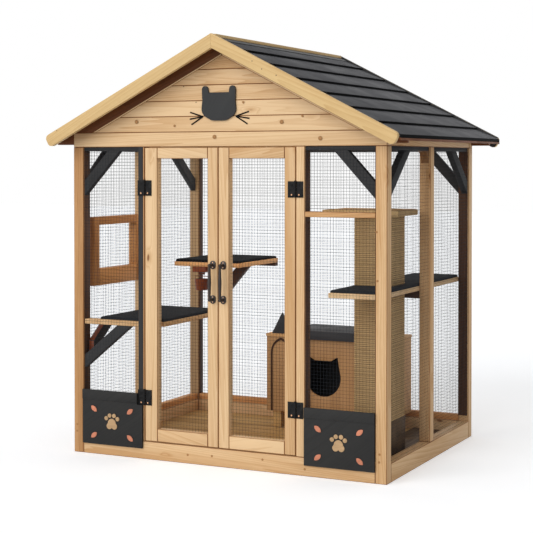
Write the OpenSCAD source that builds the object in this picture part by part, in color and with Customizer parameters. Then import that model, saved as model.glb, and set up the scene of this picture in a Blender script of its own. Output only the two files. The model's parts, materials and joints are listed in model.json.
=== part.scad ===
// Walk-in cat enclosure: a timber frame with wire mesh walls, a gabled roof of lapped boards, two doors,
// a side hatch, three shelves, a scratching column and a sleeping house.
// Pieces are drawn from the walls' front left corner at ground level, with +X to the right and +Y to the
// back, and stand() moves them so that the origin lies under the middle of the whole object.

/* [Overall] */
// Width over the corner posts
wall_w = 1555; // [1450:5:1800]
// Depth over the corner posts
wall_d = 1160; // [1130:5:1400]
// Height of the posts, up to the underside of the wall plates
head_h = 1418; // [1390:1:1600]
// Slope of the roof in degrees
roof_pitch = 27; // [22:0.5:32]
// Reach of the roof past the front wall
front_over = 103; // [70:1:160]
// Reach of the roof past each side wall
side_over = 90; // [60:1:140]
// Reach of the roof past the rear wall
rear_over = 184; // [80:1:220]

/* [Frame timber] */
// Side of the square corner and middle posts
post = 52; // [46:1:60]
// Height of the base rails
base_h = 81; // [70:1:95]
// Height of the wall plates at their outer face
plate_h = 66; // [55:1:80]
// Distance from the front wall to the middle posts of the side walls
mid_post_y = 541; // [535:1:620]
// Height of the sill rails that lie on the base rails
sill_h = 28; // [18:1:34]
// Thickness of the sill rails and top rails
rail_t = 36; // [30:1:40]
// Height of the dark rails under the wall plates
top_rail_h = 18; // [12:1:26]
// Thickness of the dark linings on the posts
lining_t = 4; // [2:0.5:5]
// Width of the left door jamb
left_jamb_w = 32; // [28:1:40]
// Width of the left door jamb that its dark strip leaves bare
jamb_nib = 8; // [5:1:12]
// Width of the right door jamb
right_jamb_w = 41; // [34:1:50]
// Distance from the wall plates down to the cross rail in the right front panel
cross_rail_drop = 280; // [240:1:340]
// Height of the cross rail
cross_rail_h = 24; // [16:1:34]

/* [Knee braces] */
// Width of each brace seen from the side
brace_w = 48; // [36:1:56]
// Thickness of each brace
brace_t = 30; // [20:1:36]
// Height that a knee brace spans on its post
brace_drop = 205; // [160:1:240]
// Reach of the braces in the front and rear walls
brace_reach = 190; // [150:1:230]
// Reach of the braces in the side walls
side_brace_reach = 250; // [190:1:280]
// Radius of the small arched bracket on the right middle post
arch_r = 56; // [36:1:80]
// Reach of the inner brace under the left shelf
inner_brace_reach = 190; // [150:1:230]
// Drop of the inner brace under the left shelf
inner_brace_drop = 140; // [110:1:180]
// Reach of the brace under the rear shelf
rear_brace_reach = 126; // [90:1:140]
// Drop of the brace under the rear shelf
rear_brace_drop = 146; // [110:1:200]

/* [Wire mesh] */
// Largest spacing of the stiffening wires in each mesh panel
mesh_pitch = 125; // [90:5:160]
// Width of each wire
wire_w = 3; // [2:0.5:4]
// Thickness of each panel
mesh_t = 2.5; // [1.5:0.5:4]
// Distance of the mesh behind the outer faces of the walls
mesh_inset = 3; // [1:0.5:6]

/* [Doors] */
// Distance from the left wall to the door opening
door_x = 381; // [360:1:400]
// Width of the door opening
opening_w = 756; // [700:1:790]
// Thickness of the doors
door_t = 38; // [30:1:44]
// Gap round and between the doors
door_gap = 3; // [2:0.5:5]
// Width of the stiles
stile_w = 52; // [44:1:60]
// Width of the hinge stile of the left door
left_hinge_stile_w = 64; // [44:1:70]
// Height of the top rails
door_top_h = 50; // [40:1:64]
// Height of the bottom rails
door_bottom_h = 58; // [46:1:80]
// Distance of the door mesh behind the front of the doors
door_mesh_y = 13; // [8:1:20]

/* [Hinges] */
// Height of each hinge
hinge_h = 70; // [50:1:80]
// Width of each hinge leaf
leaf_w = 31; // [26:1:31]
// Thickness of each hinge leaf
leaf_t = 3; // [2:0.5:3.5]
// Radius of the hinge pins
pin_r = 2; // [1.5:0.1:2.5]
// Radius of the hinge knuckles
knuckle_r = 4.5; // [4:0.1:4.6]
// Radial clearance of the pins in the knuckles
pin_clear = 0.05; // [0.02:0.01:0.1]
// Height of the upper hinges' middle
upper_hinge_z = 1232; // [1150:1:1280]
// Height of the lower hinges' middle
lower_hinge_z = 281; // [240:1:340]
// Radius of the screw heads
screw_r = 3.6; // [3:0.1:4]

/* [Handles] */
// Height of the middle of the handles
handle_z = 818; // [760:1:900]
// Distance between the two fixings of a handle
handle_span = 153; // [120:1:180]
// Distance of the grip's middle from the door
handle_reach = 34; // [30:1:44]
// Radius of the grip at its middle
grip_r = 8; // [6:0.5:10]
// Radius of the round ends of the back plates
rose_r = 14; // [10:0.5:15]
// Thickness of the back plates
handle_plate_t = 4; // [3:0.5:6]
// Distance of the handles from the meeting edges of the doors
handle_inset = 26; // [22:1:30]

/* [Kick panels] */
// Height of the bottom edge of the kick panels
kick_z = 48; // [30:1:70]
// Height of the kick panels
kick_h = 250; // [200:1:300]
// Thickness of the kick panels
kick_t = 10; // [6:1:14]
// Height of the cap board along their top edge
kick_cap_h = 45; // [30:1:60]
// Thickness of the cap boards and painted motifs
trim_t = 3; // [2:0.5:5]
// Radius of the large pad in the paw motif
paw_r = 21; // [12:1:22]

/* [Roof] */
// Thickness of the roof deck
deck_t = 9; // [7:0.5:14]
// Thickness of a lapped board at its upper edge
lap_thin = 4; // [3:0.5:6]
// Thickness of a lapped board at its lower edge
lap_thick = 13; // [10:0.5:18]
// Lapped boards on each slope
lap_n = 7; // [5:1:9]
// Boards in each gable
gable_n = 5; // [4:1:7]
// Thickness of the gable boards
gable_t = 18; // [12:1:24]
// Depth across the slope of the dark rafters over the gable boards
gable_rafter_h = 46; // [30:1:60]
// Width across the slope of the bead along the gable boards' upper edge
bead_w = 9; // [6:1:14]
// Depth of the bargeboards across the slope
barge_w = 56; // [48:1:72]
// Thickness of the bargeboards
barge_t = 22; // [16:1:28]
// Height of the bargeboards above the lapped boards
barge_rise = 3; // [1:0.5:6]
// Radius of the bargeboards' ends
barge_r = 20; // [10:1:24]
// Width of the rafters and of the ridge beam
rafter_w = 36; // [24:1:44]
// Depth of the rafters
rafter_h = 46; // [36:1:60]
// Depth of the ridge beam
ridge_h = 84; // [70:1:110]
// Length down the slope of the ridge flashing
flash_l = 46; // [30:1:60]
// Thickness of the ridge flashing
flash_t = 3; // [2:0.5:5]
// Width of the ridge batten
batten_w = 26; // [18:1:36]
// Height of the ridge batten
batten_h = 9; // [6:1:14]

/* [Cat head plaque] */
// Width of the plaque
plaque_w = 170; // [120:1:180]
// Height of the plaque with its ears
plaque_h = 153; // [120:1:180]
// Thickness of the plaque
plaque_t = 9; // [6:1:14]
// Height of the plaque's middle
plaque_z = 1609; // [1580:1:1650]
// Distance of the plaque to the left of the middle
plaque_off = 12; // [0:1:20]
// Length of the whiskers
whisker_l = 68; // [50:1:80]
// Thickness of the whiskers
whisker_w = 6; // [4:0.5:8]

/* [Floor] */
// Height of the top of the floor
floor_z = 23; // [18:1:36]
// Thickness of the floor boards
floor_t = 12; // [9:1:16]
// Boards in the floor
floor_n = 9; // [6:1:12]
// Gap between the floor boards
floor_gap = 2; // [1:0.5:4]
// Width of the joists under the floor
joist_w = 44; // [34:1:60]
// Width of the floor mat along the right wall
floor_mat_w = 300; // [240:1:340]
// Thickness of the floor mat
floor_mat_t = 5; // [3:0.5:8]

/* [Shelves] */
// Thickness of the shelf boards
shelf_t = 22; // [16:1:28]
// Thickness of the mats on the shelves
mat_t = 14; // [8:1:20]
// Distance of the mats from the front edges of their boards
mat_inset = 12; // [6:1:20]
// Height of the top of the left shelf
left_shelf_z = 622; // [560:1:680]
// Right end of the left shelf
left_shelf_x = 454; // [420:1:480]
// Distance from the left wall to the notch in the left shelf and to its mat
left_mat_x = 126; // [100:1:150]
// Rear edge of the left shelf
left_shelf_y = 600; // [595:1:640]
// Height of the top of the rear shelf
rear_shelf_z = 850; // [800:1:900]
// Left end of the rear shelf
rear_shelf_x = 155; // [120:1:180]
// Width of the rear shelf
rear_shelf_w = 368; // [300:1:400]
// Distance from the left wall to the brace on the slim post under the rear shelf
rear_post_x = 374; // [340:1:400]
// Depth of the rear shelf
rear_shelf_d = 441; // [380:1:450]
// Height of the top of the right shelf
right_shelf_z = 788; // [740:1:840]
// Width of the right shelf
right_shelf_w = 238; // [225:1:260]
// Height of the top of the upper platform
platform_z = 1138; // [1060:1:1180]
// Thickness of the upper platform
platform_t = 28; // [20:1:36]
// Width of the upper platform
platform_w = 366; // [300:1:400]
// Depth of the upper platform
platform_d = 253; // [230:1:300]
// Reach of the brace under the left shelf
shelf_brace_reach = 250; // [180:1:280]
// Drop of the braces under the left shelf
shelf_brace_drop = 205; // [160:1:240]

/* [Scratching column] */
// Side of the square column over its matting
column_w = 183; // [150:1:190]
// Distance of the column from the front wall
column_y = 327; // [300:1:360]
// Gap between the column and the right wall's posts
column_gap = 53; // [40:1:60]
// Thickness of the matting
matting_t = 9; // [6:1:12]
// Radius of the matting's corners
matting_r = 14; // [11:1:20]
// Height of the dark plinth under the column
plinth_h = 178; // [120:1:220]

/* [Sleeping house] */
// Left side of the house
house_x = 589; // [540:1:620]
// Width of the house
house_w = 671; // [600:1:672]
// Depth of the house
house_d = 268; // [240:1:275]
// Height of the bearers under the house
bearer_h = 82; // [60:1:100]
// Height of the house from its floor to its top board
house_h = 387; // [340:1:420]
// Thickness of its boards
house_t = 14; // [10:1:18]
// Radius of the entrance
door_hole_r = 95; // [75:1:98]
// Distance of the entrance's middle from the left side
door_hole_x = 307; // [290:1:330]
// Height of the entrance's middle above the house's floor
door_hole_z = 183; // [150:1:200]
// Width of the pointed arch
arch_w = 110; // [90:1:120]
// Distance from the arch's point up to the house's top board
arch_gap = 4; // [2:1:30]
// Height of the pointed top
arch_top_h = 76; // [60:1:84]
// Width of the arch's moulding
arch_line = 9; // [6:1:12]
// Thickness of the black roof slab
slab_t = 26; // [18:1:34]
// Height of the fascia in front of the slab
fascia_h = 44; // [36:1:54]
// Distance of the slab from the left side of the house
slab_x = 135; // [125:1:160]
// Width of the ears
ear_w = 112; // [80:1:120]
// Height of the ears
ear_h = 106; // [80:1:130]

/* [Side hatch] */
// Distance of the hatch from the front wall
hatch_y = 89; // [80:1:110]
// Width of the hatch
hatch_w = 436; // [340:1:440]
// Height of the hatch's bottom edge
hatch_z = 766; // [740:1:800]
// Height of the hatch
hatch_h = 324; // [280:1:360]
// Width of the hatch's stiles
hatch_stile = 50; // [40:1:60]
// Height of the hatch's upper rail
hatch_head = 38; // [30:1:50]
// Height of the hatch's lower rail
hatch_foot = 78; // [60:1:90]
// Thickness of the hatch's frame
hatch_t = 30; // [24:1:31]
// Gap between the hatch and its surround
hatch_gap = 0.3; // [0.2:0.1:1]

/* [Hanging cup] */
// Distance of the cup from the left wall
cup_x = 290; // [280:1:310]
// Distance of the cup from the front edge of the rear shelf
cup_y = 42; // [40:1:60]
// Radius of the cup's rim
cup_r = 37; // [30:1:42]
// Height of the cup
cup_h = 55; // [40:1:70]
// Thickness of the cup's wall
cup_wall = 3; // [2:0.5:5]
// Distance from the shelf to the cup's rim
cup_drop = 65; // [60:1:80]
// Height of the block that carries the cup
block_h = 29; // [20:1:36]

/* [Hidden] */

$fn = 48;
pine = [0.85, 0.70, 0.49];
brown = [0.55, 0.39, 0.24];
dark_brown = [0.30, 0.19, 0.12];
charcoal = [0.20, 0.20, 0.20];
slate = [0.24, 0.24, 0.26];
black_iron = [0.10, 0.10, 0.10];
sisal = [0.59, 0.49, 0.33];
felt = [0.18, 0.20, 0.22];
copper = [0.80, 0.45, 0.33];
tan_paint = [0.67, 0.55, 0.41];
wire = [0.16, 0.16, 0.16];

half_w = wall_w / 2;
front_y = -(wall_d + rear_over - front_over) / 2;
inner_x = wall_w - post;
inner_y = wall_d - post;
plate_z = head_h + plate_h;
ridge_z = plate_z + half_w * tan(roof_pitch);
opening_x = door_x + opening_w;
panel_x = door_x - left_jamb_w;
right_panel_x = opening_x + right_jamb_w;
rail_in = (post - rail_t) / 2;
mesh_top = head_h - top_rail_h;
mesh_foot = base_h + sill_h;
cross_rail_z = head_h - cross_rail_drop - cross_rail_h;

// Gap that lets a piece slip past its neighbour
slip = 0.3;
// Distance of a hinge pin in front of the timber that carries the hinge
pin_off = knuckle_r + slip;
// Distance from a hinge pin to the near edge of its leaves
leaf_gap = knuckle_r + 0.8;

mid_x = door_x + opening_w / 2;
door_low = base_h + door_gap;
door_high = head_h - door_gap;
left_seam = door_x + door_gap / 2;
right_seam = opening_x - door_gap / 2;
brace_y = mesh_inset + mesh_t + slip;

column_x = inner_x - column_gap - column_w;
column_foot = floor_z + plinth_h;
house_y = inner_y - slip - house_d;
house_z = floor_z + bearer_h;
house_top = house_z + house_h;
arch_side_h = house_h - house_t - arch_gap - arch_top_h;
rear_shelf_y = inner_y - rear_shelf_d;
hatch_x = post - hatch_t;
hatch_pin_y = hatch_y + hatch_w + door_gap / 2;
block_z = rear_shelf_z - shelf_t - block_h;
// Width and thickness of the lugs that hold the cup's pivot
lug_w = 12;
lug_t = 4;
pivot_z = block_z - 0.75 * lug_w;
// Half of the hairline gap that keeps neighbouring boards separate
seam = 0.1;
// Gap between neighbouring hinge knuckles
knuckle_gap = 0.4;
// Length by which a cutting shape sticks out of what it cuts
cut = 1;
// Degrees by which the ridge batten's underside is flatter than the roof
batten_ease = 4;
// Lower and upper ends of the column's two lengths
column_spans = [
    [column_foot, right_shelf_z - shelf_t],
    [right_shelf_z, platform_z - platform_t]
];

lap_pitch = (half_w + side_over) / cos(roof_pitch) / lap_n;
barge_top = deck_t + lap_thick + barge_rise;

// Place down the slope, at a height over the deck's underside, of the joint along the ridge
function ridge_at(height) = (slip - height * sin(roof_pitch)) / cos(roof_pitch);

// Place down the slope of the upright plane at the eaves
function eave_at(height) = (half_w + side_over - height * sin(roof_pitch)) / cos(roof_pitch);

// Half of the gable boards' width at a height
function gable_half(z) = (ridge_z - gable_rafter_h / cos(roof_pitch) - z) / tan(roof_pitch);

module stand() translate([-half_w, front_y, 0]) children();

// Board between two opposite corners, short of them by the seam except on the ground
module block(low, high) {
    inset = [seam, seam, low[2] == 0 ? 0 : seam];
    translate(low + inset) cube(high - low - inset - [seam, seam, seam]);
}

// Outline in X and Z, extruded towards +Y
module plate_xz(depth) translate([0, depth, 0]) rotate([90, 0, 0]) linear_extrude(depth) children();

// Outline in Y and Z, extruded towards +X
module plate_yz(depth) rotate([90, 0, 90]) linear_extrude(depth) children();

// Diagonal brace under a corner at the origin, running right and up to height 0
module brace_shape(reach, drop) {
    slant = sqrt(reach * reach + drop * drop);
    polygon([
        [0, -drop],
        [reach, 0],
        [reach - brace_w * slant / drop, 0],
        [0, -drop + brace_w * slant / reach]
    ]);
}

// Grid of wires with square gaps
module grille_shape(size) {
    across = ceil((size[0] - wire_w) / mesh_pitch);
    up = ceil((size[1] - wire_w) / mesh_pitch);
    gap = [(size[0] - (across + 1) * wire_w) / across, (size[1] - (up + 1) * wire_w) / up];
    difference() {
        square(size);
        for (i = [0 : across - 1], j = [0 : up - 1])
            translate([wire_w + i * (gap[0] + wire_w), wire_w + j * (gap[1] + wire_w)])
                square(gap);
    }
}

// Mesh panel that faces the front, from [x, z] to [x, z]
module mesh_xz(low, high, y)
    translate([low[0] + seam, y, low[1] + seam])
        plate_xz(mesh_t) grille_shape(high - low - [2 * seam, 2 * seam]);

// Mesh panel that faces a side, from [y, z] to [y, z]
module mesh_yz(low, high, x)
    translate([x, low[0] + seam, low[1] + seam])
        plate_yz(mesh_t) grille_shape(high - low - [2 * seam, 2 * seam]);

// Frame
module base_rails() color(pine) stand() {
    block([post, 0, 0], [inner_x, post, base_h]);
    block([post, inner_y, 0], [inner_x, wall_d, base_h]);
    block([0, post, 0], [post, inner_y, base_h]);
    block([inner_x, post, 0], [wall_w, inner_y, base_h]);
}

module floor_deck() color([0.66, 0.57, 0.40]) stand() {
    pitch = (inner_y - post + floor_gap) / floor_n;
    for (i = [0 : floor_n - 1]) {
        y = post + i * pitch;
        block([post, y, floor_z - floor_t], [inner_x, y + pitch - floor_gap, floor_z]);
    }
    for (x = [post, half_w - joist_w / 2, inner_x - joist_w])
        block([x, post, 0], [x + joist_w, inner_y, floor_z - floor_t]);
}

// Hole for the scratching column in a mat at a height
module column_hole(z, t)
    translate([column_x - slip, column_y - slip, z - cut])
        cube([column_w + 2 * slip, column_w + 2 * slip, t + 2 * cut]);

// Mat along the right wall, in two lengths that meet beside the house
module floor_mat() color(dark_brown) stand() {
    top = floor_z + floor_mat_t;
    joint_y = house_y - mat_inset;
    difference() {
        translate([inner_x - floor_mat_w, post, floor_z])
            cube([floor_mat_w, joint_y - post, floor_mat_t]);
        column_hole(floor_z, floor_mat_t);
    }
    block([house_x + house_w + mat_inset, joint_y, floor_z], [inner_x, inner_y, top]);
}

module corner_posts() color(pine) stand()
    for (x = [0, inner_x], y = [0, inner_y])
        block([x, y, 0], [x + post, y + post, head_h]);

module mid_posts() color(pine) stand()
    for (x = [0, inner_x])
        block([x, mid_post_y, base_h], [x + post, mid_post_y + post, head_h]);

module door_jambs() color(pine) stand() {
    translate([0, 0, base_h]) linear_extrude(head_h - base_h)
        polygon([
            [panel_x, trim_t],
            [door_x - jamb_nib, trim_t],
            [door_x - jamb_nib, 0],
            [door_x, 0],
            [door_x, post],
            [panel_x, post]
        ]);
    block([opening_x, 0, base_h], [right_panel_x, post, head_h]);
}

module wall_plates() color(pine) stand() {
    for (y = [0, inner_y])
        block([0, y, head_h], [wall_w, y + post, plate_z]);
    for (side = [0, 1])
        translate([side * wall_w, post, 0]) mirror([side, 0, 0])
            translate([0, seam, 0]) plate_xz(inner_y - post - 2 * seam)
                polygon([
                    [0, head_h],
                    [post, head_h],
                    [post, plate_z + post * tan(roof_pitch)],
                    [0, plate_z]
                ]);
}

module sill_rails() color(brown) stand() {
    block([post, inner_y + rail_in, base_h], [inner_x, wall_d - rail_in, mesh_foot]);
    for (span = [[post, mid_post_y], [mid_post_y + post, inner_y]])
        block([rail_in, span[0], base_h], [rail_in + rail_t, span[1], mesh_foot]);
}

// Dark rails under the wall plates, and the dark strip on the left door jamb
module dark_rails() color(charcoal) stand() {
    block([panel_x, 0, base_h], [door_x - jamb_nib, trim_t, head_h]);
    for (span = [[post, panel_x], [right_panel_x, inner_x]])
        block([span[0], rail_in, mesh_top], [span[1], rail_in + rail_t, head_h]);
    block([post, inner_y + rail_in, mesh_top], [inner_x, wall_d - rail_in, head_h]);
    for (x = [0, inner_x], span = [[post, mid_post_y], [mid_post_y + post, inner_y]])
        block([x + rail_in, span[0], mesh_top], [x + rail_in + rail_t, span[1], head_h]);
}

// Thin dark linings on the faces of the posts that look into each mesh panel
module inner_linings() color(dark_brown) stand() {
    low = mesh_foot;
    for (x = [post, panel_x - lining_t, right_panel_x, inner_x - lining_t])
        block([x, mesh_inset + mesh_t, low], [x + lining_t, post, mesh_top]);
    block([inner_x, inner_y - lining_t, low], [wall_w - brace_y, inner_y, mesh_top]);
    for (x = [post, inner_x - lining_t])
        block([x, inner_y + rail_in, low], [x + lining_t, wall_d - rail_in, mesh_top]);
}

module front_cross_rail() color(pine) stand() {
    notch_y = mesh_inset + mesh_t;
    translate([0, 0, cross_rail_z]) linear_extrude(cross_rail_h)
        polygon([
            [right_panel_x, 0],
            [inner_x, 0],
            [inner_x, notch_y],
            [inner_x - lining_t, notch_y],
            [inner_x - lining_t, rail_t],
            [right_panel_x + lining_t, rail_t],
            [right_panel_x + lining_t, notch_y],
            [right_panel_x, notch_y]
        ]);
}

module knee_braces() {
    color(charcoal) stand() {
        for (side = [0, 1])
            translate([side * wall_w, brace_y, mesh_top]) mirror([side, 0, 0])
                translate([post + lining_t, 0, 0]) plate_xz(brace_t) brace_shape(brace_reach, brace_drop);
        translate([inner_x - lining_t, inner_y + rail_in, mesh_top]) mirror([1, 0, 0])
            plate_xz(brace_t) brace_shape(brace_reach, brace_drop);
        for (side = [0, 1])
            translate([side * wall_w, 0, mesh_top]) mirror([side, 0, 0]) {
                translate([brace_y, post, 0])
                    plate_yz(brace_t) brace_shape(side_brace_reach, brace_drop);
                translate([brace_y, inner_y - side * lining_t, 0]) mirror([0, 1, 0])
                    plate_yz(brace_t) brace_shape(side_brace_reach, brace_drop);
            }
    }
    color(dark_brown) stand()
        translate([inner_x + rail_in, mid_post_y, mesh_top]) mirror([0, 1, 0])
            plate_yz(rail_t) difference() {
                translate([0, -arch_r]) square(arch_r);
                translate([arch_r, -arch_r]) circle(arch_r);
            }
}

// Wire mesh
module front_mesh() color(wire) stand() {
    mesh_xz([post, base_h], [panel_x, head_h], mesh_inset);
    mesh_xz([right_panel_x, base_h], [inner_x, cross_rail_z], mesh_inset);
    mesh_xz([right_panel_x, cross_rail_z + cross_rail_h], [inner_x, head_h], mesh_inset);
}

module side_mesh() color(wire) stand() {
    rear_bay = mid_post_y + post;
    left_x = mesh_inset;
    right_x = wall_w - mesh_inset - mesh_t;
    hole_y = hatch_y + hatch_stile;
    hole_z = hatch_z + hatch_foot;
    hole_end = hatch_y + hatch_w - hatch_stile;
    hole_top = hatch_z + hatch_h - hatch_head;
    mesh_yz([post, base_h], [mid_post_y, hole_z], left_x);
    mesh_yz([post, hole_top], [mid_post_y, head_h], left_x);
    mesh_yz([post, hole_z], [hole_y, hole_top], left_x);
    mesh_yz([hole_end, hole_z], [mid_post_y, hole_top], left_x);
    mesh_yz([rear_bay, base_h], [inner_y, head_h], left_x);
    mesh_yz([post, base_h], [mid_post_y, head_h], right_x);
    mesh_yz([rear_bay, base_h], [inner_y, head_h], right_x);
}

module rear_mesh() color(wire) stand()
    mesh_xz([post, base_h], [inner_x, head_h], wall_d - mesh_inset - mesh_t);

// Front boards
module kick_panels() color(charcoal) stand() {
    left_end = door_x - jamb_nib;
    notch = hinge_h / 2 + slip;
    difference() {
        kick_board(post, left_end);
        block(
            [left_seam - leaf_gap - leaf_w - slip, -kick_t - trim_t - cut, lower_hinge_z - notch],
            [left_end + cut, cut, lower_hinge_z + notch]
        );
    }
    kick_board(right_panel_x, inner_x);
}

module kick_board(x0, x1) {
    top = kick_z + kick_h;
    block([x0, -kick_t, kick_z], [x1, 0, top]);
    block([x0, -kick_t - trim_t, top - kick_cap_h], [x1, 0, top]);
}

// A paw print between four leaves on each kick panel
module kick_motifs() stand()
    for (x = [(post + door_x - jamb_nib) / 2, (right_panel_x + inner_x) / 2])
        translate([x, -kick_t - trim_t, kick_z + (kick_h - kick_cap_h) / 2]) {
            color(tan_paint) plate_xz(trim_t) paw_shape();
            for (side = [-1, 1], up = [-1, 1])
                color(copper) translate([side * 4.6 * paw_r, 0, up * 2.9 * paw_r])
                    plate_xz(trim_t) rotate(side * up * 40) leaf_shape();
        }

module paw_shape() {
    circle(paw_r);
    for (turn = [-1, 1])
        translate([turn * 0.62 * paw_r, -0.62 * paw_r]) circle(0.7 * paw_r);
    for (turn = [-54, -19, 19, 54])
        rotate(turn) translate([0, 1.75 * paw_r]) circle(0.46 * paw_r);
}

module leaf_shape()
    intersection() {
        translate([0, 0.6 * paw_r]) circle(1.1 * paw_r);
        translate([0, -0.6 * paw_r]) circle(1.1 * paw_r);
    }

module gable_boards() color(pine) stand() {
    apex = ridge_z - gable_rafter_h / cos(roof_pitch) - seam;
    rise = (apex - plate_z) / gable_n;
    for (y = [0, wall_d - gable_t], i = [0 : gable_n - 1]) {
        low = plate_z + i * rise;
        translate([half_w, y, 0]) plate_xz(gable_t)
            if (i < gable_n - 1) {
                high = low + rise - seam;
                polygon([
                    [-gable_half(low), low],
                    [gable_half(low), low],
                    [gable_half(high), high],
                    [-gable_half(high), high]
                ]);
            } else
                polygon([[-gable_half(low), low], [gable_half(low), low], [0, apex]]);
    }
    bead = bead_w / cos(roof_pitch);
    for (y = [-trim_t - seam, wall_d + seam], side = [0, 1])
        translate([half_w, y, 0]) mirror([side, 0, 0]) plate_xz(trim_t)
            polygon([
                [seam, apex - bead],
                [seam, apex],
                [gable_half(plate_z), plate_z],
                [gable_half(plate_z + bead), plate_z]
            ]);
}

// Rafters in the plane of the gable boards, and their tails under the eaves
module gable_rafters() color(dark_brown) stand() {
    wall_x = half_w + seam;
    eave_x = half_w + side_over;
    eave_z = plate_z - side_over * tan(roof_pitch);
    for (y = [0, wall_d - gable_t], side = [0, 1])
        translate([half_w, y, 0]) mirror([side, 0, 0]) plate_xz(gable_t) {
            polygon([
                [seam, ridge_z - seam * tan(roof_pitch)],
                [half_w, plate_z],
                [gable_half(plate_z) + seam, plate_z],
                [seam, ridge_z - gable_rafter_h / cos(roof_pitch)]
            ]);
            polygon([
                [wall_x, plate_z - seam * tan(roof_pitch)],
                [eave_x, eave_z],
                [eave_x, eave_z - deck_t],
                [wall_x, eave_z - deck_t]
            ]);
        }
}

module cat_plaque() color(black_iron) stand()
    translate([half_w - plaque_off, -plaque_t, plaque_z]) {
        plate_xz(plaque_t) cat_head_shape(plaque_w, plaque_h);
        for (side = [0, 1])
            mirror([side, 0, 0]) translate([0.48 * plaque_w, plaque_t - trim_t, -0.38 * plaque_h])
                plate_xz(trim_t) for (turn = [-31, -9, 17])
                    rotate(turn) translate([0, -whisker_w / 2]) square([whisker_l, whisker_w]);
    }

// Cat's head with a flat brow, round ears and round cheeks
module cat_head_shape(w, h) {
    cheek = 0.24 * w;
    brow = 0.05 * w;
    hull()
        for (side = [-1, 1]) {
            translate([side * (w / 2 - cheek), -0.16 * h]) circle(cheek);
            translate([side * (0.46 * w - brow), 0.31 * h - brow]) circle(brow);
            translate([side * 0.14 * w, -h / 2 + cheek]) circle(cheek);
        }
    for (side = [-1, 1])
        hull() {
            translate([side * 0.4 * w, h / 2 - 0.09 * w]) circle(0.09 * w);
            translate([side * 0.385 * w, 0.16 * h]) circle(0.1 * w);
        }
}

// Roof
module slope(side, y0, y1)
    translate([half_w, y0, ridge_z]) mirror([side, 0, 0])
        plate_xz(y1 - y0) rotate(-roof_pitch) children();

module roof_frame() color(pine) stand() {
    half = rafter_w / 2;
    reach = half_w - half - seam;
    depth = rafter_h / cos(roof_pitch);
    foot = plate_z + post * tan(roof_pitch);
    head = plate_z + reach * tan(roof_pitch);
    shoulder = -half * tan(roof_pitch);
    for (y = [post, (wall_d - rafter_w) / 2, inner_y - rafter_w], side = [0, 1])
        translate([side * wall_w, y, 0]) mirror([side, 0, 0])
            plate_xz(rafter_w)
                polygon([
                    [post, foot - depth],
                    [reach, head - depth],
                    [reach, head],
                    [post, foot]
                ]);
    translate([half_w, gable_t, ridge_z])
        plate_xz(wall_d - 2 * gable_t)
            polygon([
                [-half, -ridge_h],
                [half, -ridge_h],
                [half, shoulder],
                [0, 0],
                [-half, shoulder]
            ]);
}

module roof_deck() color(dark_brown) stand()
    for (side = [0, 1])
        slope(side, -front_over + barge_t, wall_d + rear_over - barge_t)
            polygon([
                [ridge_at(0), 0],
                [eave_at(0), 0],
                [eave_at(deck_t), deck_t],
                [ridge_at(deck_t), deck_t]
            ]);

module lapped_boards(side) color(slate) stand() {
    thin = deck_t + lap_thin;
    thick = deck_t + lap_thick;
    for (i = [0 : lap_n - 1]) {
        foot = (i + 1) * lap_pitch - seam;
        slope(side, -front_over + barge_t, wall_d + rear_over - barge_t)
            polygon([
                [i == 0 ? ridge_at(deck_t) : i * lap_pitch, deck_t],
                [i == lap_n - 1 ? eave_at(deck_t) : foot, deck_t],
                [i == lap_n - 1 ? eave_at(thick) : foot, thick],
                [i == 0 ? ridge_at(thin) : i * lap_pitch, thin]
            ]);
    }
}

module left_roof_boards() lapped_boards(1);

module right_roof_boards() lapped_boards(0);

module ridge_flashing() color(black_iron) stand() {
    thin = deck_t + lap_thin;
    start = ridge_at(thin);
    edge = thin + (lap_thick - lap_thin) * (flash_l - start) / (lap_pitch - seam - start);
    for (side = [0, 1])
        slope(side, -front_over + barge_t, wall_d + rear_over - barge_t)
            polygon([
                [start, thin],
                [flash_l, edge],
                [flash_l, edge + flash_t],
                [ridge_at(thin + flash_t), thin + flash_t]
            ]);
}

module ridge_batten() color(pine) stand() {
    half = batten_w / 2;
    apex = (deck_t + lap_thin + flash_t) / cos(roof_pitch);
    side_z = -half * tan(roof_pitch - batten_ease);
    translate([half_w, -front_over + barge_t, ridge_z + apex])
        plate_xz(wall_d + front_over + rear_over - 2 * barge_t)
            polygon([[0, 0], [half, side_z], [half, batten_h], [-half, batten_h], [-half, side_z]]);
}

module verge_boards(y) {
    low = barge_top - barge_w;
    end = eave_at(barge_top);
    for (side = [0, 1])
        slope(side, y, y + barge_t) {
            polygon([
                [ridge_at(low), low],
                [end - barge_r, low],
                [end, low + barge_r],
                [end, barge_top - barge_r],
                [end - barge_r, barge_top],
                [ridge_at(barge_top), barge_top]
            ]);
            for (n = [low + barge_r, barge_top - barge_r])
                translate([end - barge_r, n]) circle(barge_r);
        }
}

module bargeboards() color(pine) stand() verge_boards(-front_over);

module rear_bargeboards() color(charcoal) stand() verge_boards(wall_d + rear_over - barge_t);

// Shelves
module left_shelf_board() color(pine) stand()
    translate([0, 0, left_shelf_z - shelf_t]) linear_extrude(shelf_t)
        polygon([
            [post + lining_t, brace_y],
            [panel_x - lining_t, brace_y],
            [panel_x - lining_t, post],
            [left_shelf_x, post],
            [left_shelf_x, left_shelf_y],
            [post, left_shelf_y],
            [post, mid_post_y],
            [left_mat_x, mid_post_y],
            [left_mat_x, post],
            [post + lining_t, post]
        ]);

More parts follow.
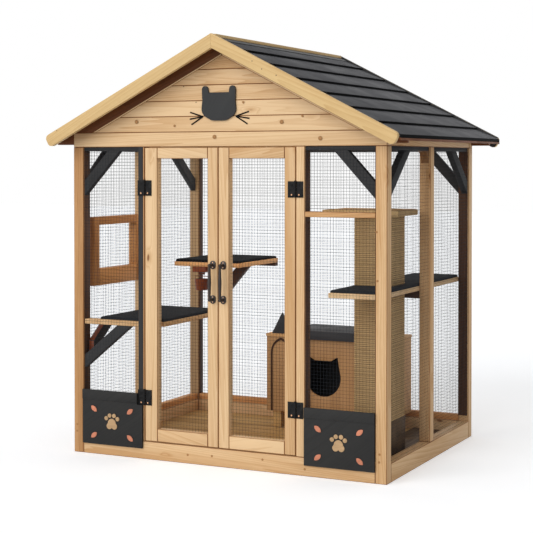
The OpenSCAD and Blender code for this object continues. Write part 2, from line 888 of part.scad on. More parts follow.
module left_shelf_mat() color(felt) stand() {
    x0 = left_mat_x + slip;
    front = brace_y + 2 * mat_inset;
    right = left_shelf_x - slip;
    translate([0, 0, left_shelf_z]) linear_extrude(mat_t)
        polygon([
            [x0, front],
            [panel_x - lining_t - slip, front],
            [panel_x - lining_t - slip, post + slip],
            [right, post + slip],
            [right, left_shelf_y - mat_inset],
            [x0, left_shelf_y - mat_inset]
        ]);
}

module left_shelf_braces() color(charcoal) stand()
    translate([post + lining_t, brace_y, left_shelf_z - shelf_t]) {
        plate_xz(brace_t) brace_shape(shelf_brace_reach, shelf_brace_drop);
        translate([0, brace_t + slip, 0])
            plate_yz(brace_t) brace_shape(inner_brace_reach, inner_brace_drop);
    }

module rear_shelf_board() color(pine) stand()
    translate([rear_shelf_x, rear_shelf_y, rear_shelf_z - shelf_t])
        cube([rear_shelf_w, rear_shelf_d, shelf_t]);

module rear_shelf_mat() color(felt) stand()
    translate([rear_shelf_x + mat_inset / 2, rear_shelf_y + mat_inset / 2, rear_shelf_z])
        cube([rear_shelf_w - mat_inset, rear_shelf_d - mat_inset, mat_t]);

// Ledger on the rear wall, a slim post under the shelf and its brace
module rear_shelf_supports() color(dark_brown) stand() {
    top = rear_shelf_z - shelf_t;
    right = rear_shelf_x + rear_shelf_w;
    post_y = rear_shelf_y + rear_shelf_d / 3;
    block([post, inner_y - rail_t, top - rail_t / 2], [right, inner_y, top]);
    block([rear_post_x - rail_t, post_y, floor_z], [rear_post_x, post_y + rail_t, top]);
    translate([rear_post_x, post_y, top])
        plate_xz(rail_t) brace_shape(rear_brace_reach, rear_brace_drop);
}

module right_shelf_board() color(pine) stand()
    block(
        [inner_x - right_shelf_w, post, right_shelf_z - shelf_t],
        [inner_x, inner_y, right_shelf_z]
    );

module right_shelf_mat() color(felt) stand()
    difference() {
        block(
            [inner_x - right_shelf_w + mat_inset / 2, post + mat_inset, right_shelf_z],
            [inner_x - slip, inner_y - mat_inset, right_shelf_z + mat_t]
        );
        column_hole(right_shelf_z, mat_t);
    }

module right_shelf_bearer() color(brown) stand()
    block(
        [inner_x - right_shelf_w / 2, mid_post_y + rail_in, right_shelf_z - shelf_t - rail_t],
        [inner_x, mid_post_y + rail_in + rail_t, right_shelf_z - shelf_t]
    );

module top_platform() color(sisal) stand()
    translate([inner_x - platform_w, column_y - (platform_d - column_w) * 0.75, platform_z - platform_t])
        cube([platform_w, platform_d, platform_t]);

// Scratching column
module rounded_square(w, r)
    translate([w / 2, w / 2]) {
        square([w, w - 2 * r], center = true);
        square([w - 2 * r, w], center = true);
        for (x = [-1, 1], y = [-1, 1])
            translate([x * (w / 2 - r), y * (w / 2 - r)]) circle(r);
    }

module column_plinth() color(dark_brown) stand()
    translate([column_x, column_y, floor_z]) cube([column_w, column_w, plinth_h]);

module column_core() color(brown) stand()
    for (span = column_spans)
        translate([column_x + matting_t, column_y + matting_t, span[0]])
            cube([column_w - 2 * matting_t, column_w - 2 * matting_t, span[1] - span[0]]);

module column_matting() color(sisal) stand()
    for (span = column_spans)
        translate([column_x, column_y, span[0]]) linear_extrude(span[1] - span[0])
            difference() {
                rounded_square(column_w, matting_r);
                translate([matting_t, matting_t]) square(column_w - 2 * matting_t);
            }

// Sleeping house
module house_bearers() color(dark_brown) stand()
    for (x = [house_x + 2 * house_t, house_x + house_w - 2 * house_t - joist_w])
        block([x, house_y + house_t, floor_z], [x + joist_w, inner_y - house_t, house_z]);

module house_box() color(brown) stand() {
    right = house_x + house_w;
    back = inner_y - slip;
    roof_z = house_top - house_t;
    block([house_x, house_y + house_t, house_z], [house_x + house_t, back, roof_z]);
    block([right - house_t, house_y + house_t, house_z], [right, back, roof_z]);
    block([house_x + house_t, back - house_t, house_z], [right - house_t, back, roof_z]);
    block(
        [house_x + house_t, house_y + house_t, house_z],
        [right - house_t, back - house_t, house_z + house_t]
    );
    block([house_x - trim_t, house_y - trim_t, roof_z], [right + trim_t, back, house_top]);
}

module house_front() color(brown) stand()
    translate([house_x, house_y, house_z]) plate_xz(house_t)
        difference() {
            square([house_w, house_h - house_t]);
            translate([door_hole_x, door_hole_z]) entrance_shape();
        }

// Round entrance with a flat brow and two pointed ears
module entrance_shape() {
    brow = 0.88 * door_hole_r;
    difference() {
        circle(door_hole_r);
        translate([-door_hole_r, brow]) square([2 * door_hole_r, door_hole_r]);
    }
    for (side = [-1, 1])
        polygon([
            [side * 0.4 * door_hole_r, brow * 0.96],
            [side * 0.97 * door_hole_r, brow * 0.2],
            [side * 0.82 * door_hole_r, 1.1 * door_hole_r]
        ]);
}

// Pointed arch with straight sides
module arch_shape(w, side_h, top_h) {
    r = (w * w / 4 + top_h * top_h) / w;
    translate([-w / 2, 0]) square([w, side_h]);
    translate([0, side_h]) intersection() {
        translate([r - w / 2, 0]) circle(r);
        translate([w / 2 - r, 0]) circle(r);
        translate([-w, 0]) square([2 * w, 2 * w]);
    }
}

module house_arch_trim() color(brown) stand()
    for (x = [house_x + slab_x - ear_w / 2, house_x + house_w - slab_x + ear_w / 2])
        translate([x, house_y - trim_t, house_z]) plate_xz(trim_t)
            difference() {
                arch_shape(arch_w, arch_side_h, arch_top_h);
                translate([0, -cut])
                    arch_shape(arch_w - 2 * arch_line, arch_side_h + cut, arch_top_h - 1.4 * arch_line);
            }

module house_roof() color(charcoal) stand() {
    x0 = house_x + slab_x;
    x1 = house_x + house_w - slab_x;
    front = house_y - trim_t;
    top = house_top + slab_t;
    block([x0, front, house_top], [x1, inner_y - slip, top]);
    block([x0, front - house_t, top - fascia_h], [x1, front, top]);
    for (x = [x0 - ear_w, x1])
        translate([x, front + house_t, house_top]) plate_xz(house_t)
            polygon([[0, 0], [ear_w, 0], [ear_w / 2, ear_h]]);
}

// Hinges: the pin stands on the origin and the timber's face lies at +Y
module hinge_leaf(own, length) {
    piece = hinge_h / 5;
    difference() {
        union() {
            translate([leaf_gap, pin_off - leaf_t, -hinge_h / 2]) cube([length, leaf_t, hinge_h]);
            for (i = own)
                translate([0, 0, -hinge_h / 2 + i * piece + knuckle_gap / 2]) {
                    cylinder(h = piece - knuckle_gap, r = knuckle_r);
                    translate([0, pin_off - leaf_t, 0]) cube([leaf_gap + 1, leaf_t, piece - knuckle_gap]);
                }
        }
        translate([0, 0, -hinge_h]) cylinder(h = 2 * hinge_h, r = pin_r + pin_clear);
        screw_places(length)
            translate([0, 0, -cut]) cylinder(h = leaf_t + 2 * cut, r = screw_r / 2 + pin_clear);
    }
    screw_places(length) {
        cylinder(h = leaf_t, r = screw_r / 2);
        translate([0, 0, leaf_t]) cylinder(h = screw_r / 2, r = screw_r);
    }
}

// Three screws in a leaf, each drawn from the timber's face outwards
module screw_places(length) {
    far = leaf_gap + length;
    for (place = [[far - 19, 0.33], [far - 8, 0], [far - 19, -0.33]])
        translate([place[0], pin_off, place[1] * hinge_h]) rotate([90, 0, 0]) children();
}

module hinge_pin() {
    head = hinge_h / 2 + slip;
    translate([0, 0, -hinge_h / 2]) cylinder(h = hinge_h + slip, r = pin_r);
    translate([0, 0, head]) cylinder(h = leaf_t, r = knuckle_r - pin_clear);
}

// Both door seams, at the heights of the two hinges
module at_hinges(side)
    for (z = [lower_hinge_z, upper_hinge_z])
        translate([side == 0 ? left_seam : right_seam, -pin_off, z]) mirror([side, 0, 0]) children();

// Side hatch's seam, at the heights of its two hinges
module at_hatch_hinges()
    for (z = [hatch_z + hinge_h, hatch_z + hatch_h - hinge_h])
        translate([post + pin_off, hatch_pin_y, z]) rotate([0, 0, 90]) children();

module hinge_plates() color(black_iron) stand() {
    for (side = [0, 1])
        at_hinges(side) mirror([1, 0, 0]) hinge_leaf([0, 2, 4], leaf_w);
    at_hatch_hinges() hinge_leaf([0, 2, 4], mid_post_y + 2 * leaf_w / 3 - hatch_pin_y);
}

module hinge_pins() color(black_iron) stand() {
    for (side = [0, 1])
        at_hinges(side) hinge_pin();
    at_hatch_hinges() hinge_pin();
}

// Doors
module door_frame(x0, x1, left_stile, right_stile) {
    block([x0, 0, door_low], [x0 + left_stile, door_t, door_high]);
    block([x1 - right_stile, 0, door_low], [x1, door_t, door_high]);
    for (span = [[door_low, door_low + door_bottom_h], [door_high - door_top_h, door_high]])
        block([x0 + left_stile, 0, span[0]], [x1 - right_stile, door_t, span[1]]);
}

module door_mesh(x0, x1)
    mesh_xz([x0, door_low + door_bottom_h], [x1, door_high - door_top_h], door_mesh_y);

module left_door_frame() color(pine) stand()
    door_frame(door_x + door_gap, mid_x - door_gap / 2, left_hinge_stile_w, stile_w);

module left_door_mesh() color(wire) stand()
    door_mesh(door_x + door_gap + left_hinge_stile_w, mid_x - door_gap / 2 - stile_w);

module left_door_hinges() color(black_iron) stand() at_hinges(0) hinge_leaf([1, 3], leaf_w);

module right_door_frame() color(pine) stand()
    door_frame(mid_x + door_gap / 2, opening_x - door_gap, stile_w, stile_w);

module right_door_mesh() color(wire) stand()
    door_mesh(mid_x + door_gap / 2 + stile_w, opening_x - door_gap - stile_w);

module right_door_hinges() color(black_iron) stand() at_hinges(1) hinge_leaf([1, 3], leaf_w);

// Bow handle with a round back plate and a drop at each end
module handle() {
    half = handle_span / 2;
    for (end = [0, 1])
        mirror([0, 0, end]) translate([0, 0, half]) {
            translate([0, -handle_plate_t, 0]) plate_xz(handle_plate_t) {
                translate([-rose_r, -rose_r / 3]) square([2 * rose_r, 2 * rose_r / 3]);
                for (z = [-rose_r / 3, rose_r / 3])
                    translate([0, z]) circle(rose_r);
            }
            rotate([90, 0, 0]) cylinder(h = handle_reach, r = 0.72 * grip_r);
            translate([0, -handle_reach, 0]) sphere(0.9 * grip_r);
        }
    translate([0, -handle_reach, 0]) rotate_extrude()
        polygon([
            [0, -half],
            [0.7 * grip_r, -half],
            [0.8 * grip_r, -half / 2],
            [grip_r, 0],
            [0.8 * grip_r, half / 2],
            [0.7 * grip_r, half],
            [0, half]
        ]);
}

module left_handle() color(black_iron) stand()
    translate([mid_x - handle_inset, 0, handle_z]) handle();

module right_handle() color(black_iron) stand()
    translate([mid_x + handle_inset, 0, handle_z]) handle();

// Side hatch
module frame_bars(low, high, x0, x1) {
    y = [low[0], high[0]];
    z = [low[1], high[1]];
    for (span = [[y[0], y[0] + hatch_stile], [y[1] - hatch_stile, y[1]]])
        block([x0, span[0], z[0]], [x1, span[1], z[1]]);
    for (span = [[z[0], z[0] + hatch_foot], [z[1] - hatch_head, z[1]]])
        block([x0, y[0] + hatch_stile, span[0]], [x1, y[1] - hatch_stile, span[1]]);
}

module hatch_surround() color(brown) stand() {
    x0 = mesh_inset + mesh_t;
    x1 = hatch_x - hatch_gap;
    right = hatch_y + hatch_w;
    top = hatch_z + hatch_h;
    frame_bars([hatch_y, hatch_z], [right, top], x0, x1);
    block([x0, right, hatch_z], [x1, mid_post_y, hatch_z + hatch_foot]);
    block([x0, right, top - hatch_head], [x1, mid_post_y, top]);
}

module hatch_frame() color(brown) stand()
    frame_bars([hatch_y, hatch_z], [hatch_y + hatch_w, hatch_z + hatch_h], hatch_x, post);

module hatch_mesh() color(wire) stand()
    mesh_yz(
        [hatch_y + hatch_stile, hatch_z + hatch_foot],
        [hatch_y + hatch_w - hatch_stile, hatch_z + hatch_h - hatch_head],
        hatch_x + hatch_t / 2
    );

module hatch_straps() color(black_iron) stand()
    at_hatch_hinges() mirror([1, 0, 0]) hinge_leaf([1, 3], leaf_w);

// Hanging cup
module cup_block() color(copper) stand()
    translate([cup_x, rear_shelf_y + cup_y, 0]) {
        block([-cup_r, -lug_w * 2.5, block_z], [cup_r, lug_w * 2.5, block_z + block_h]);
        for (side = [-1, 1])
            difference() {
                translate([side * lug_w - lug_t / 2, -lug_w / 2, pivot_z - lug_w / 2])
                    cube([lug_t, lug_w, block_z - pivot_z + lug_w / 2]);
                translate([side * lug_w - lug_t, 0, pivot_z]) rotate([0, 90, 0])
                    cylinder(h = 2 * lug_t, r = pin_r + pin_clear);
            }
    }

module hanging_cup() color(copper) stand()
    translate([cup_x, rear_shelf_y + cup_y, 0]) {
        rim_z = rear_shelf_z - shelf_t - cup_drop;
        arm_z = (pivot_z + rim_z) / 2;
        arm_x = cup_r - cup_wall / 2;
        bar_r = 0.8 * pin_r;
        bar_x = arm_x + bar_r;
        arm_r = 0.6 * pin_r;
        translate([0, 0, rim_z - cup_h]) rotate_extrude()
            polygon([
                [0, 0],
                [0.8 * cup_r, 0],
                [cup_r, cup_h],
                [cup_r - cup_wall, cup_h],
                [0.8 * cup_r - cup_wall, cup_wall],
                [0, cup_wall]
            ]);
        translate([-lug_w * 1.5, 0, pivot_z]) rotate([0, 90, 0]) cylinder(h = lug_w * 3, r = pin_r);
        translate([0, 0, arm_z]) cylinder(h = pivot_z - arm_z, r = arm_r);
        translate([-bar_x, 0, arm_z]) rotate([0, 90, 0]) cylinder(h = 2 * bar_x, r = bar_r);
        for (side = [-1, 1])
            translate([side * arm_x, 0, rim_z + seam]) cylinder(h = arm_z - rim_z, r = arm_r);
    }

base_rails();
floor_deck();
floor_mat();
corner_posts();
mid_posts();
door_jambs();
wall_plates();
sill_rails();
dark_rails();
inner_linings();
front_cross_rail();
knee_braces();
front_mesh();
side_mesh();
rear_mesh();
kick_panels();
kick_motifs();
gable_boards();
roof_frame();
roof_deck();
left_roof_boards();
right_roof_boards();
ridge_flashing();
ridge_batten();
bargeboards();
gable_rafters();
rear_bargeboards();
cat_plaque();
left_shelf_board();
left_shelf_mat();
left_shelf_braces();
rear_shelf_board();
rear_shelf_mat();
rear_shelf_supports();
right_shelf_board();
right_shelf_mat();
right_shelf_bearer();
column_plinth();
column_core();
column_matting();
top_platform();
house_bearers();
house_box();
house_front();
house_arch_trim();
house_roof();
hinge_plates();
hinge_pins();
left_door_frame();
left_door_mesh();
left_door_hinges();
left_handle();
right_door_frame();
right_door_mesh();
right_door_hinges();
right_handle();
hatch_surround();
hatch_frame();
hatch_mesh();
hatch_straps();
cup_block();
hanging_cup();
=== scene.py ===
"""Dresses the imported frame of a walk-in cat enclosure with timber, wire, roof boards, mats and ironwork."""

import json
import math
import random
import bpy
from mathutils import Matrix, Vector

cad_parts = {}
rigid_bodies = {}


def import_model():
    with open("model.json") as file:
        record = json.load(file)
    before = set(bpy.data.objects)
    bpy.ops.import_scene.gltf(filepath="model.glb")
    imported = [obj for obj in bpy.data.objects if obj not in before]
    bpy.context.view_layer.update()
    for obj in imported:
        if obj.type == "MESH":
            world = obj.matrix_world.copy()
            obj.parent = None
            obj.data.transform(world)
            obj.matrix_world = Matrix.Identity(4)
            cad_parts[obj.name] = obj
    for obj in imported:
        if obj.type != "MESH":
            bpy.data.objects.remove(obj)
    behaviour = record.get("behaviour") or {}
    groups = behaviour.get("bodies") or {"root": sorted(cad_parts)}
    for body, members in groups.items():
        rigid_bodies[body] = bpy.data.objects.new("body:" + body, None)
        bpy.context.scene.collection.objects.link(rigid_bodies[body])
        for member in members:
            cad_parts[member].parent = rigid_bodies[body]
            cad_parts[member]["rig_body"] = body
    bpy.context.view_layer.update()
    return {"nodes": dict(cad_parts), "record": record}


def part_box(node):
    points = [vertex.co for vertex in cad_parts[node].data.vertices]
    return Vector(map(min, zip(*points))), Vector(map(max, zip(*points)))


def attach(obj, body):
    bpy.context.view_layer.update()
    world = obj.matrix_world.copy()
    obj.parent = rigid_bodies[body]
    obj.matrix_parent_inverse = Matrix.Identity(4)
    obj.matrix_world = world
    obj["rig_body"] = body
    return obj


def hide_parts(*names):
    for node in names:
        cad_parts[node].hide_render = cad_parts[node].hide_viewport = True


bl_info = {
    "name": "Cat enclosure",
    "version": (1, 0, 0),
    "blender": (4, 5, 0),
    "location": "View3D > Sidebar > Enclosure",
    "description": "Builds the visible surfaces of a timber and wire cat enclosure around its frame",
    "category": "Object",
}

import bmesh
import bpy
import numpy as np
from bpy.props import FloatProperty, FloatVectorProperty, PointerProperty
from mathutils import Matrix, Vector, noise

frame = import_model()


def linear(red, green, blue):
    """Scene colour of an 8-bit screen colour."""
    shares = [c / 255 for c in (red, green, blue)]
    return tuple(((c + 0.055) / 1.055) ** 2.4 if c > 0.04 else c / 12.92 for c in shares)


def colour(name, default, description):
    """Property for a colour."""
    return FloatVectorProperty(
        name=name, description=description, subtype="COLOR", size=3, min=0, max=1, default=linear(*default)
    )


def length(name, default, description):
    """Property for a length in metres."""
    return FloatProperty(
        name=name, description=description, unit="LENGTH", min=0, default=default, precision=4
    )


def slant(name, degrees, description):
    """Property for an angle."""
    return FloatProperty(name=name, description=description, subtype="ANGLE", default=math.radians(degrees))


def strength(name, default, description):
    """Property for the strength of a light."""
    return FloatProperty(name=name, description=description, default=default, min=0)


# Timber finishes: label, light wood, dark grain and what sets the wood apart
WOODS = {
    "pine": ("Bare pine", (223, 191, 149), (191, 148, 101), {"knots": 0.12}),
    # Painted edge shade: a darker brown on the rounded edges of the boards, which stands for the shade in the
    # grooves between them
    "seam": ("Board edges", (150, 104, 60), (112, 66, 32), {"knots": 0.0}),
    "brown_wood": (
        "Brown stained wood",
        (160, 118, 74),
        (116, 78, 44),
        {"knots": 0.15, "roughness": (0.42, 0.6)},
    ),
    "dark_stain": ("Dark stained wood", (84, 56, 38), (46, 29, 20), {"knots": 0.1}),
    "floor_wood": (
        "Floor boards",
        (208, 172, 116),
        (164, 128, 80),
        {"knots": 0.2, "contrast": 1.2, "roughness": (0.7, 0.85)},
    ),
    # Shaded soffit: a dark brown for the roof deck and the gable rafters, painted shade under the overhang
    "soffit": ("Soffit", (116, 68, 36), (82, 46, 24), {"knots": 0.05}),
    # Hatch frame: a brown lighter than the brown stain, which makes up for the shade inside the enclosure:
    # painted light
    "hatch_wood": ("Hatch frame", (196, 140, 84), (144, 94, 52), {"knots": 0.0}),
    "honey": ("Honey pine", (214, 184, 132), (192, 156, 104), {"knots": 0.1}),
    # Amber pine with painted shade: a darker, more orange pine for the front left post and the cross rail; on
    # the post its darkness is painted shade
    "amber_pine": ("Amber pine", (204, 160, 112), (160, 114, 70), {"knots": 0.1}),
    # Shaded pine: a darker, more olive pine for the rear left post, painted shade
    "aged_pine": ("Aged pine", (178, 148, 110), (138, 106, 72), {"knots": 0.1}),
    "sill_wood": ("Shaded rails", (232, 176, 118), (192, 136, 86), {"knots": 0.1}),
    "front_wood": ("House front", (184, 144, 100), (146, 108, 70), {"knots": 0.0}),
    # Dark wood for the shade: a dark streaked brown for the column's foot and the floor mat, painted shade on
    # the floor at the right
    "shade_wood": ("Dark streaked wood", (98, 77, 52), (54, 41, 28), {"knots": 0.0, "contrast": 1.3}),
    "knot_wood": ("Knots and ends", (160, 118, 74), (116, 78, 44), {"knots": 0.0}),
    "house_wood": ("House boards", (226, 182, 128), (190, 144, 96), {"knots": 0.05}),
    "red_wood": (
        "Turned red wood",
        (150, 78, 42),
        (92, 42, 22),
        {"knots": 0.0, "rings": 260.0, "roughness": (0.3, 0.45)},
    ),
}

# Painted finishes: label, colour and what sets the paint apart
PAINTS = {
    "black_paint": ("Charcoal paint", (44, 44, 45), {}),
    "kick_paint": ("Kick panel paint", (37, 37, 37), {}),
    "roof_paint": ("Roof paint", (53, 54, 58), {"spread": 0.2, "depth": 0.0008}),
    "plaque": ("Plaque paint", (50, 51, 52), {"spread": 0.05, "depth": 0.0001}),
    "tan_paint": ("Tan figure paint", (172, 142, 107), {"spread": 0.2}),
    "copper_paint": ("Copper figure paint", (188, 120, 94), {"spread": 0.25}),
}

# Metal and coated finishes: label, colour, dents in a metre, range of roughness, depth of the dents, gloss
METALS = {
    # Lap shadow and whiskers: near black, a painted shadow on the roof boards' lower and rounded edges, and
    # the real black of the cat's whiskers
    "lap_shadow_and_whiskers": ("Lapped edges", (9, 9, 10), 60.0, (0.8, 0.9), 0.0001, 0.05),
    "flashing": ("Ridge flashing", (26, 27, 29), 40.0, (0.45, 0.6), 0.0003, 0.5),
    "wire_mesh": ("Coated wire", (36, 39, 44), 300.0, (0.7, 0.8), 0.0001, 0.15),
    "black_iron": ("Hammered iron", (13, 13, 14), 260.0, (0.4, 0.55), 0.0008, 0.12),
    "bronze": ("Aged bronze", (32, 23, 18), 300.0, (0.3, 0.45), 0.0006, 0.4),
    "screw": ("Screw heads", (214, 160, 120), 400.0, (0.35, 0.5), 0.0001, 0.5),
    "nail": ("Nail heads", (92, 72, 52), 400.0, (0.5, 0.6), 0.0001, 0.5),
}


def wood_colours():
    """Properties for the two colours of each timber finish."""
    made = {}
    for name, (label, light, dark, _) in WOODS.items():
        made[name + "_light"] = colour(label, light, "Light wood of the " + label.lower())
        made[name + "_dark"] = colour(label + " grain", dark, "Grain of the " + label.lower())
    return made


def plain_colours(finishes):
    """Properties for the colours of painted or metal finishes."""
    made = {}
    for name, (label, shade, *_) in finishes.items():
        made[name] = colour(label, shade, "Colour of the " + label.lower())
    return made


class TimberSettings(bpy.types.PropertyGroup):
    """Sizes and colours of the timber."""

    rounding: length("Rounding", 0.0022, "Radius of the planed edges")
    knot: colour("Knots", (112, 66, 32), "Knots in the bare pine")
    knot_radius: length("Knot size", 0.0055, "Radius of the knots that are set in one by one")
    nail_radius: length("Nail size", 0.0026, "Radius of the nail heads")
    __annotations__.update(wood_colours())


class PaintSettings(bpy.types.PropertyGroup):
    """Colours of the painted pieces."""

    __annotations__ = plain_colours(PAINTS)


class MetalSettings(bpy.types.PropertyGroup):
    """Colours of the ironwork and the coated metal, and sizes of the screws."""

    hinge_screw: length("Hinge screws", 0.0036, "Radius of the screw heads in the hinges")
    handle_screw: length("Handle screws", 0.0034, "Radius of the screw heads in the handles")
    __annotations__.update(plain_colours(METALS))


class WireSettings(bpy.types.PropertyGroup):
    """Sizes of the welded wire."""

    pitch: length("Pitch", 0.015, "Distance between the wires")
    thickness: length("Thickness", 0.00098, "Thickness of the wires")


class FabricSettings(bpy.types.PropertyGroup):
    """Sizes and colours of the mats and the matting."""

    cell: length("Cell", 0.006, "Size of the grid that the mats are made on")
    crown: length("Crown", 0.0022, "Rise of a mat towards its middle")
    edge: length("Edge", 0.007, "Radius of the mats' edges")
    felt: colour("Felt", (30, 32, 35), "Felt of the mats")
    felt_light: colour("Felt flecks", (48, 51, 56), "Light fibres in the felt")
    # Felt in shade: a darker felt for the rear shelf's mat, painted shade
    dark_felt: colour("Dark felt", (13, 14, 16), "Felt of the rear shelf's mat")
    sisal: colour("Sisal", (206, 174, 124), "Crests of the woven matting")
    # Sisal top in shade: a darker matting on the platform's top, painted shade
    worn: colour("Sisal top in shade", (150, 122, 86), "Crests of the platform's matting")
    # Shade in the sisal hollows: the darker colour between the ribs, painted shade
    sisal_hollow_shade: colour("Shade in the sisal hollows", (112, 86, 54), "Hollows of the woven matting")
    rib: length("Rib", 0.0088, "Distance between the ribs of the matting")
    rib_depth: length("Rib depth", 0.0026, "Depth of the ribs")


class StageSettings(bpy.types.PropertyGroup):
    """Camera, lamps and floor."""

    eye: FloatVectorProperty(
        name="Eye", description="Place of the camera", subtype="TRANSLATION", default=(2.8627, -6.0534, 1.35)
    )
    azimuth: slant("Azimuth", 25.95, "Turn of the camera to the left")
    pitch: slant("Pitch", 1.0, "Tilt of the camera towards the ground")
    lens: FloatProperty(name="Lens", description="Focal length in millimetres", default=94.1, min=10)
    shift: FloatProperty(name="Shift", description="Shift of the view in picture heights", default=-0.1505)
    sun: strength("Sun", 1.8, "Strength of the soft lamp")
    sun_width: slant("Sun width", 50.0, "Width of the soft lamp in the sky")
    inner: strength("Inside", 7.0, "Power of the soft light under the roof")
    sky: strength("Sky", 0.58, "Strength of the light from all round")
    floor_size: length("Floor", 60.0, "Side of the floor")
    floor_shade: colour("Floor shade", (236, 240, 246), "Colour of the floor")
    floor_glow: strength("Floor glow", 0.36, "Light that the floor adds for the camera and for reflections")


def settings(part):
    """The scene's settings for a part of the enclosure."""
    return getattr(bpy.context.scene, "enclosure_" + part)


# Materials


class Net:
    """Adds nodes to a tree and feeds them with plain values or with the outputs of other nodes."""

    def __init__(self, tree):
        self.tree = tree

    def put(self, node, socket, value):
        target = node.inputs[socket]
        if isinstance(value, bpy.types.NodeSocket):
            self.tree.links.new(value, target)
        elif target.type == "RGBA" and len(value) == 3:
            target.default_value = (*value, 1)
        else:
            target.default_value = value

    def node(self, kind, inputs=(), **values):
        node = self.tree.nodes.new(kind)
        for name, value in values.items():
            setattr(node, name, value)
        for socket, value in dict(inputs).items():
            self.put(node, socket, value)
        return node

    def attribute(self, name, output="Fac"):
        return self.node("ShaderNodeAttribute", attribute_name=name).outputs[output]

    def object_place(self):
        return self.node("ShaderNodeTexCoord").outputs["Object"]

    def math(self, operation, *values, clamp=False):
        inputs = dict(enumerate(values))
        return self.node("ShaderNodeMath", inputs, operation=operation, use_clamp=clamp).outputs[0]

    def vector(self, operation, *values):
        node = self.node("ShaderNodeVectorMath", dict(enumerate(values)), operation=operation)
        return node.outputs["Value" if operation == "LENGTH" else "Vector"]

    def times(self, first, second):
        return self.math("MULTIPLY", first, second)

    def times_plus(self, value, factor, addend, clamp=False):
        return self.math("MULTIPLY_ADD", value, factor, addend, clamp=clamp)

    def stretch(self, vector, factors):
        return self.vector("MULTIPLY", vector, factors)

    def noise(self, vector, scale=1.0, detail=2.0, roughness=0.5, output="Fac"):
        inputs = {"Vector": vector, "Scale": scale, "Detail": detail, "Roughness": roughness}
        return self.node("ShaderNodeTexNoise", inputs).outputs[output]

    def cells(self, vector, scale=1.0, feature="F1"):
        return self.node("ShaderNodeTexVoronoi", {"Vector": vector, "Scale": scale}, feature=feature)

    def between(self, value, low, high, to_low=0.0, to_high=1.0):
        """Moves a value smoothly from the range low to high to another one."""
        inputs = {"Value": value, "From Min": low, "From Max": high, "To Min": to_low, "To Max": to_high}
        return self.node("ShaderNodeMapRange", inputs, interpolation_type="SMOOTHSTEP").outputs[0]

    def mix(self, share, first, second):
        return self.node("ShaderNodeMix", {0: share, 6: first, 7: second}, data_type="RGBA").outputs[2]


VECTOR, VALUE, SHADE = "NodeSocketVector", "NodeSocketFloat", "NodeSocketColor"


def effect(name, inputs, outputs, build):
    """Shader node group with named sockets, whose nodes build adds before it returns what they put out."""
    tree = bpy.data.node_groups.new(name, "ShaderNodeTree")
    for in_out, sockets in (("INPUT", inputs), ("OUTPUT", outputs)):
        for label, kind in sockets.items():
            tree.interface.new_socket(label, in_out=in_out, socket_type=kind)
    net = Net(tree)
    source = net.node("NodeGroupInput").outputs
    target = net.node("NodeGroupOutput")
    for label, value in zip(outputs, build(net, source)):
        net.put(target, label, value)


def grain_effect(net, source):
    """Growth rings, fibres and knots of a board, along the first of its own coordinates."""
    place = source["Place"]
    wander = net.noise(net.stretch(place, (0.8, 3.0, 3.0)), output="Color")
    shift = net.stretch(net.vector("SUBTRACT", wander, (0.5, 0.5, 0.5)), (0.0, 0.012, 0.012))
    bent = net.vector("ADD", place, shift)
    knots = net.cells(net.stretch(place, (6.5, 17.0, 17.0)))
    dice = net.node("ShaderNodeSeparateColor", {0: knots.outputs["Color"]}).outputs[0]
    chosen = net.math("LESS_THAN", dice, source["Knots"])
    distance = knots.outputs["Distance"]
    core = net.times(net.between(distance, 0.08, 0.15, 1.0, 0.0), chosen)
    halo = net.times(net.between(distance, 0.08, 0.46, 1.0, 0.0), chosen)
    across = net.stretch(net.vector("ADD", bent, (0.0, 0.06, 0.11)), (0.01, 1.0, 1.0))
    radius = net.vector("LENGTH", across)
    count = net.times_plus(radius, source["Rings"], net.times(halo, 1.4))
    uneven = net.noise(net.stretch(across, (0.5, 28.0, 28.0)), 1.0, 1.0)
    ring = net.math("POWER", net.math("FRACT", net.times_plus(uneven, 4.0, count)), 1.6)
    fibre = net.noise(net.stretch(bent, (9.0, 420.0, 420.0)), 1.0, 3.0, 0.6)
    broad = net.noise(net.stretch(bent, (0.9, 16.0, 16.0)), 1.0, 3.0)
    tone = net.times_plus(ring, 0.46, net.times(net.between(broad, 0.28, 0.75), 0.5))
    tone = net.times_plus(net.math("SUBTRACT", fibre, 0.5), 0.75, tone)
    tone = net.times_plus(net.math("SUBTRACT", source["Board"], 0.5), 0.55, tone)
    tone = net.times_plus(halo, 0.5, tone)
    tone = net.math("MULTIPLY", tone, source["Contrast"], clamp=True)
    wood = net.mix(tone, source["Light"], source["Dark"])
    rim = net.between(net.noise(place, 300.0, 2.0), 0.3, 0.8, 0.75, 1.0)
    wood = net.mix(net.times(core, rim), wood, source["Knot"])
    height = net.times_plus(ring, -0.35, net.times(fibre, 0.5))
    height = net.times_plus(core, 0.25, height)
    return wood, height, tone


def cloud_effect(net, source):
    """Large soft patches and small specks, as on a painted or handled surface."""
    patches = net.between(net.noise(source["Place"], source["Patches"], 3.0), 0.3, 0.7)
    specks = net.noise(source["Place"], source["Specks"], 2.0, 0.65)
    mask = net.times_plus(patches, 0.6, net.times(specks, 0.4), clamp=True)
    return mask, specks


def dent_effect(net, source):
    """Shallow round dents of a hammered paint."""
    cells = net.cells(source["Place"], source["Scale"], "SMOOTH_F1").outputs["Distance"]
    return (net.times_plus(net.noise(source["Place"], 900.0), 0.12, cells),)


